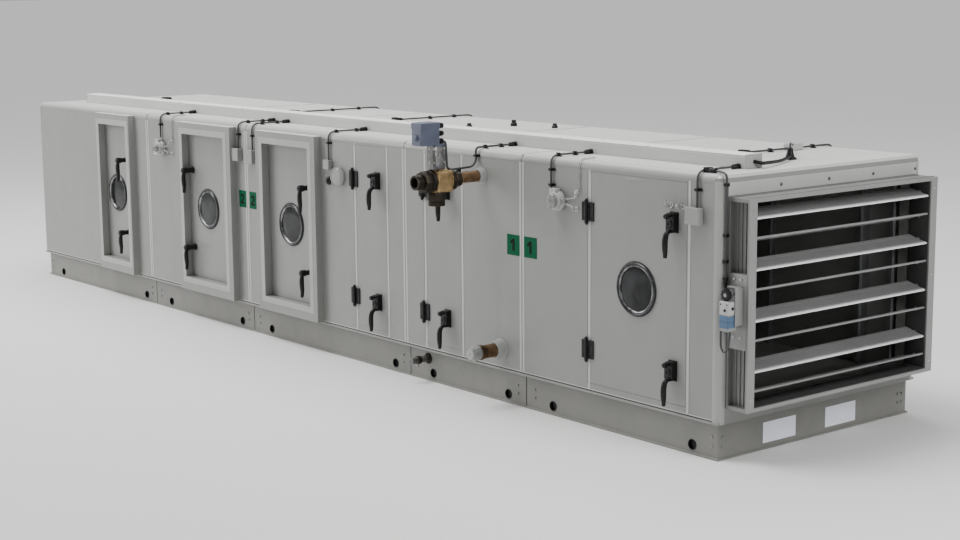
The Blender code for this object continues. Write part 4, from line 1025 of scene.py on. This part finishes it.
piece("coil_pipe_sleeves", COPPER, [
    *[
        (lathe, ((r - 0.9, 0), (r, 0), (r, length), (r - 0.9, length)), (x, -0.662, z), OUT, 48)
        for (x, z), r, length in ((UPPER_PIPE, 27.2, 130), (LOWER_PIPE, 33, 122))
    ],
    (lathe, (
        (32.5, 0), (36.2, 0), (37, 3), (37, 12), (34.5, 16), (32.5, 16),
    ), (LOWER_PIPE[0], -0.781, LOWER_PIPE[1]), OUT, 48),
])
piece("lower_pipe_cap", CLEAR, [(lathe, (
    (33.5, 0), (34.5, 4), (34.5, 46), (30, 53), (10, 54.5), (0, 54.5), (0, 53.5),
    (27, 51.5), (30.5, 44), (30.5, 0),
), (LOWER_PIPE[0], -0.797, LOWER_PIPE[1]), OUT)], 0.6)
piece("pipe_sleeves", SLEEVE, [
    (lathe, (
        (bore, -2), (r + 6, -2), (r + 6.5, 2), (r + 2, 4), (r, 10),
        (r - 1, reach - 4), (r - 4, reach), (bore, reach),
    ), (x, FRONT, z), OUT, 48)
    for (x, z), bore, r, reach in ((UPPER_PIPE, 27.6, 36.5, 26), (LOWER_PIPE, 33.4, 45.5, 44))
], 0.6)

box_low, box_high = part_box("valve_actuator")
cheek_x = about(VALVE_X, 23.2)
piece("valve_yoke_cheeks", YOKE, [
    *[
        (slab, cheek_x, by(STEM_Y, side * 21.7, side * 37.2), (box_low.z + 0.01, 1.2495)) for side in (-1, 1)
    ],
    (slab, cheek_x, about(STEM_Y, 37.2), by(box_low.z, -0.2, 11.8)),
], 1.2)
yoke_bolts = []
for z in (1.168, 1.232):
    for side in (-1, 1):
        yoke_bolts.append((hexagon, (VALVE_X + 0.0232, STEM_Y + side * 0.0295, z), RIGHT, 8, 4))
        yoke_bolts.append((hexagon, (VALVE_X, STEM_Y + side * 0.0372, z), (0, side, 0), 8, 4))
piece("valve_yoke_bolts", STEEL, yoke_bolts)
piece("valve_actuator_lid", BLUE_BOX, [
    (slab, (box_low.x - 0.0012, box_high.x + 0.0012), (box_low.y - 0.0012, -0.9338), (1.326, 1.3575)),
], 5, segments=3)
knob = capped((12, 0), (13, 3), (13, 9), (10, 12))
piece("valve_actuator_knob", BLUE_BOX, [
    (lathe, knob, (box_low.x + 0.04, box_low.y, 1.287), OUT, 24),
    *[(screw, (x, box_low.y, 1.263), OUT, 4.2, 2) for x in (box_low.x + 0.01, box_high.x - 0.01)],
], 0.6)
piece("valve_actuator_glands", BLACK, [
    (gland, (VALVE_X + 0.02, -0.9345, z), BACK, 12.5, 32) for z in (1.34, 1.304, 1.268)
], 0.8)
CABLE_X = 1.64
pipe("valve_cable", (
    (VALVE_X + 0.02, -0.912, 1.268), (VALVE_X + 0.02, -0.888, 1.262), (VALVE_X + 0.018, -0.88, 1.14),
    (VALVE_X + 0.006, -0.852, 1.1285), (1.645, -0.7, 1.129), (CABLE_X, FRONT - LIFT, 1.152),
    (CABLE_X, FRONT - LIFT, ROOF_PIPE_Z), (CABLE_X, TRUNK_FACE - 0.035, ROOF_PIPE_Z),
), 0.0056, CONDUIT, bend=0.022)
piece("valve_cable_fittings", BLACK, [
    (clip, (CABLE_X, FRONT - LIFT, 1.18), UP, OUT),
    *[(clip, (CABLE_X, y, ROOF_PIPE_Z), BACK, UP) for y in (-0.612, -0.514)],
    (gland, (CABLE_X, TRUNK_FACE, ROOF_PIPE_Z), OUT, 11.5, 46),
    (slab, by(VALVE_X, -18, 2), (-0.798, -0.782), (1.1112, 1.1272)),
], 1.2)
piece("drain_collars", BRONZE, [
    (lathe, (
        (17.2, 0), (21, 0), (21.5, 3), (21.5, 16), (19.5, 20), (17.2, 20),
    ), (1.2, -0.69, 0.113), OUT, 32),
    (lathe, (
        (17.2, 0), (28, 0), (28, 5), (24, 10), (17.2, 11),
    ), (1.2, BASE_FRONT, 0.113), OUT, 32),
], 0.6)

# ---------------------------------------------------------------- roof

trunk_mid_y = (TRUNK_LOW.y + TRUNK_HIGH.y) / 2
straps = [
    (slab, about(x, 6), (TRUNK_LOW.y - 0.0006, TRUNK_HIGH.y + 0.0006), (ROOF + 0.004, TRUNK_HIGH.z + 0.0006))
    for x in (-2.3, -1.65, -0.9, -0.475, 0.3, 1.05, 1.5, 1.965, 2.55)
]
lip_x = (TRUNK_LOW.x + 0.004, TRUNK_HIGH.x - 0.004)
straps.append((slab, lip_x, by(TRUNK_LOW.y, -0.9, 1), by(TRUNK_HIGH.z, -14, -12.5)))
piece("trunk_lid_straps", TRUNK_COAT, straps, 0.6)
piece("trunk_end_caps", TRIM, [
    (slab, span_x, (TRUNK_LOW.y - 0.0015, TRUNK_HIGH.y + 0.0015), (ROOF + 0.0015, TRUNK_HIGH.z + 0.0015))
    for span_x in (by(TRUNK_HIGH.x, -1, 2.5), by(TRUNK_LOW.x, -2.5, 1))
], 1)
piece("trunk_screws", STEEL, [
    (screw, (x, trunk_mid_y, TRUNK_HIGH.z), UP, 6, 3) for x in (-2.6, -2, -1.2, -0.7, 0, 0.7, 1.3, 2.2, 2.85)
])

# Across the roof to the rear edge, down the rear panel and in through a bush
BUSH = capped((13, 0), (13, 2), (10, 4.5))
for name, x, start_y, clip_ys in (
    ("a", -1.0, 0.02, (0.3, 0.5)), ("b", -0.04, 0.1, (0.34, 0.52)), ("c", 2.7, 0.05, (0.22, 0.52)),
):
    z, y, entry_z = ROOF_PIPE_Z, REAR + LIFT, ROOF - 0.232
    route = (x, start_y, z), (x, y, z), (x, y, entry_z), (x, REAR + 0.001, entry_z)
    pipe(f"roof_conduit_{name}", route, PIPE_R, CONDUIT, bend=0.045)
    piece(f"roof_conduit_{name}_fittings", BLACK, [
        *[(clip, (x, clip_y, z), BACK, UP) for clip_y in clip_ys],
        (clip, (x, y, ROOF - 0.12), UP, BACK),
        (gland, (x, start_y - 0.004, z), BACK, 10.5, 42),
        (lathe, BUSH, (x, REAR, entry_z), BACK, 24),
    ], 1.2)
    stub = (slab, about(x, 16), by(start_y, -30, -2), by(ROOF, 0.4, 24))
    piece(f"roof_entry_{name}", BLACK, [stub], 2)

junction = (slab, (2.672, 2.728), (0.345, 0.425), by(ROOF, 0.4, 32))
piece("roof_junction", WHITE, [junction], 4, segments=3)
bell = capped(
    (30, 0), (30, 6), (20, 12), (14, 34), (11.5, 50), (7, 52),
)
piece("roof_bell_gland", BLACK, [(lathe, bell, (2.985, 0.03, ROOF), UP, 32)], 1)
pipe("roof_link", (
    (2.985, 0.03, ROOF + 0.046), (2.985, 0.03, ROOF + 0.072), (2.84, 0.2, ROOF + 0.05),
    (2.715, 0.365, ROOF + 0.026),
), 0.0045, CONDUIT, bend=0.05)
pipe("trunk_tail", (
    (TRUNK_HIGH.x + 0.001, -0.37, ROOF + 0.03), (TRUNK_HIGH.x + 0.03, -0.35, ROOF + 0.022),
    (3.085, -0.15, ROOF + 0.012), (2.995, 0.022, ROOF + 0.014),
), 0.0078, BLACK, bend=0.06)
plugs = []
for x, y, r, height in ((0.585, 0.137, 17, 22), (0.707, 0.357, 19, 34), (0.97, 0.428, 17, 25)):
    plug = capped((r, 0), (r, height * 0.4), (r * 0.7, height * 0.6), (r * 0.7, height))
    plugs.append((lathe, plug, (x, y, ROOF), UP, 24))
plugs.append((slab, (-2.85, -2.78), (0.1, 0.145), by(ROOF, 0.4, 18)))
piece("roof_plugs", BLACK, plugs, 1.5)

PANEL_SCREW, SCREW_ZS = (5.2, 2.6), (0.24, 0.55, 0.86, 1.12)
screws = []
for joint in JOINTS:
    for x in about(joint, 26):
        screws += [(screw, (x, y, ROOF), UP, *PANEL_SCREW) for y in (-0.55, -0.15, 0.15, 0.45, 0.6)]
        screws += [(screw, (x, REAR, z), BACK, *PANEL_SCREW) for z in SCREW_ZS]
piece("joint_screws", STEEL, screws)

# ---------------------------------------------------------------- rear and outlet end

middles = [(low + high) / 2 for low, high in SECTIONS]
piece("rear_panel_strips", TRIM, [
    (slab, about(x, 7), by(REAR, -2, 1.5), (FLOOR_LINE + 0.01, SEAM_Z[1])) for x in middles
], 0.6)
piece("rear_screws", STEEL, [
    (screw, (x, REAR, z), BACK, *PANEL_SCREW)
    for middle in middles for x in about(middle, 22) for z in SCREW_ZS
])
spigot_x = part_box("casing_section_1")[0].x
piece("outlet_flange_ring", GALVANISED, [
    (slab, by(spigot_x, -1.2, 10), span_y, span_z) for span_y, span_z in (
        ((-0.4815, -0.4498), (0.3035, 1.0665)), ((0.4498, 0.4815), (0.3035, 1.0665)),
        ((-0.4498, 0.4498), (0.3035, 0.3352)), ((-0.4498, 0.4498), (1.0348, 1.0665)),
    )
], 1)
piece("outlet_bolts", STEEL, [
    (hexagon, (spigot_x - 0.001, y, z), (-1, 0, 0), 10, 5)
    for y in (-0.466, 0.466) for z in (0.38, 0.685, 0.99)
])

# ---------------------------------------------------------------- inside

AXIS_Z = 0.685


def motor_fin(bm, angle):
    made = slab(bm, (0.03, 0.175), (-0.0018, 0.0018), (0.11, 0.131))
    turn = Matrix.Translation((0, 0, AXIS_Z)) @ Matrix.Rotation(angle - math.pi / 2, 4, "X")
    bmesh.ops.transform(bm, matrix=turn, verts=made)


shroud = capped((110, 0), (112, 8), (90, 22), (30, 28))
piece("motor_fins", MOTOR, [
    *[(motor_fin, angle) for angle in turns(28) if math.sin(angle) > -0.55],
    (lathe, shroud, (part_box("fan_motor")[0].x, 0, AXIS_Z), (-1, 0, 0)),
], 0.8)
piece("impeller_hub_cap", STEEL, [
    (lathe, capped((38, 0), (38, 10), (24, 20)), (0.3, 0, AXIS_Z), RIGHT, 32),
    *[
        (hexagon, (0.31, math.cos(a) * 0.028, AXIS_Z + math.sin(a) * 0.028), RIGHT, 8, 5) for a in turns(6)
    ],
], 0.6, "fan_impeller")
for bank in ("prefilter_bank", "final_filter_bank"):
    low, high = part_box(bank)
    span_y, span_z = (low.y + 0.004, high.y - 0.004), (low.z + 0.004, high.z - 0.004)
    bars = [
        *[(slab, by(high.x, -19.5, 3), about(y, half), span_z) for y, half in ((0, 19), (-0.3, 9), (0.3, 9))],
        *[
            (slab, by(high.x, -19.5, 2.8), span_y, about(z, 15))
            for z in (low.z + 0.016, AXIS_Z, high.z - 0.016)
        ],
        *[(slab, by(high.x, -19.5, 2.9), about(y, 15), span_z) for y in (low.y + 0.016, high.y - 0.016)],
    ]
    piece(f"{bank}_frames", GALVANISED, bars, 2)
    x = high.x + 0.0015
    piece(f"{bank}_wires", STEEL, [
        (rod, (x, low.y + 0.03, z), (x, high.y - 0.03, z), 0.0016, 8)
        for z in [low.z + 0.07 + k * (high.z - low.z - 0.14) / 12 for k in range(13)]
    ])
rails = []
for low_x, high_x, low_y in ((2.945, 2.978, 0.56), (2.315, 2.405, 0.586), (3.12, 3.15, 0.575)):
    rails.append((slab, (low_x, high_x), (low_y, 0.6095), (0.2105, 1.159)))
    rails.append((slab, (low_x + 0.004, high_x - 0.004), (low_y - 0.006, low_y + 0.001), (0.2115, 1.158)))
piece("inner_wall_rails", GALVANISED, rails, 2)
piece("coil_casing_rails", GALVANISED, [
    (slab, about(x, 4), (-0.532, 0.582), about(z, 16)) for x in (1.6, 1.9) for z in (0.252, 1.143)
], 2)

# ---------------------------------------------------------------- floor, light and camera

ground = bmesh.new()
bmesh.ops.create_grid(ground, x_segments=8, y_segments=8, size=400.0)
ground_mesh = bpy.data.meshes.new("floor")
ground.to_mesh(ground_mesh)
ground.free()
floor = bpy.data.objects.new("floor", ground_mesh)
floor.location.z = -0.0005
bpy.context.scene.collection.objects.link(floor)
floor.data.materials.append(
    material("studio_floor", (0.76, 0.76, 0.755), 0.7, mottle=0.01, mottle_scale=0.6, grain=0.03)
)

world = bpy.data.worlds.new("studio")
bpy.context.scene.world = world
world.use_nodes = True
world.node_tree.nodes["Background"].inputs["Color"].default_value = (1, 1, 1, 1)
world.node_tree.nodes["Background"].inputs["Strength"].default_value = 0.36


def lamp(name, kind, place, target, energy, **settings):
    data = bpy.data.lights.new(name, kind)
    data.energy = energy
    for key, value in settings.items():
        setattr(data, key, value)
    obj = bpy.data.objects.new(name, data)
    bpy.context.scene.collection.objects.link(obj)
    direction = Vector(target) - Vector(place)
    obj.matrix_world = Matrix.Translation(place) @ direction.to_track_quat("-Z", "Y").to_matrix().to_4x4()


lamp("key", "SUN", (-3.2, -3.4, 9), (0, 0, 0), 1.9, angle=math.radians(28))
lamp("left_fill", "AREA", (-6.0, -5.6, 3.4), (-2.0, -0.6, 0.7), 330, size=4.0)
lamp("overhead", "AREA", (-1.5, 0.5, 7.0), (-1.5, 0.5, 0), 520, size=7.0)
lamp("end_fill", "AREA", (6.9, 0.0, 3.6), (3.3, 0.0, 1.0), 150, size=2.2)

camera = bpy.data.objects.new("camera", bpy.data.cameras.new("camera"))
bpy.context.scene.collection.objects.link(camera)
camera.data.lens = 63.89
camera.data.sensor_width = 36.0
camera.data.clip_end = 1000.0
camera.matrix_world = (
    Matrix.Translation((7.957, -5.768, 1.966))
    @ Matrix.Rotation(math.radians(50.985), 4, "Z")
    @ Matrix.Rotation(math.radians(80.624), 4, "X")
    @ Matrix.Rotation(math.radians(-0.466), 4, "Z")
)
bpy.context.scene.camera = camera
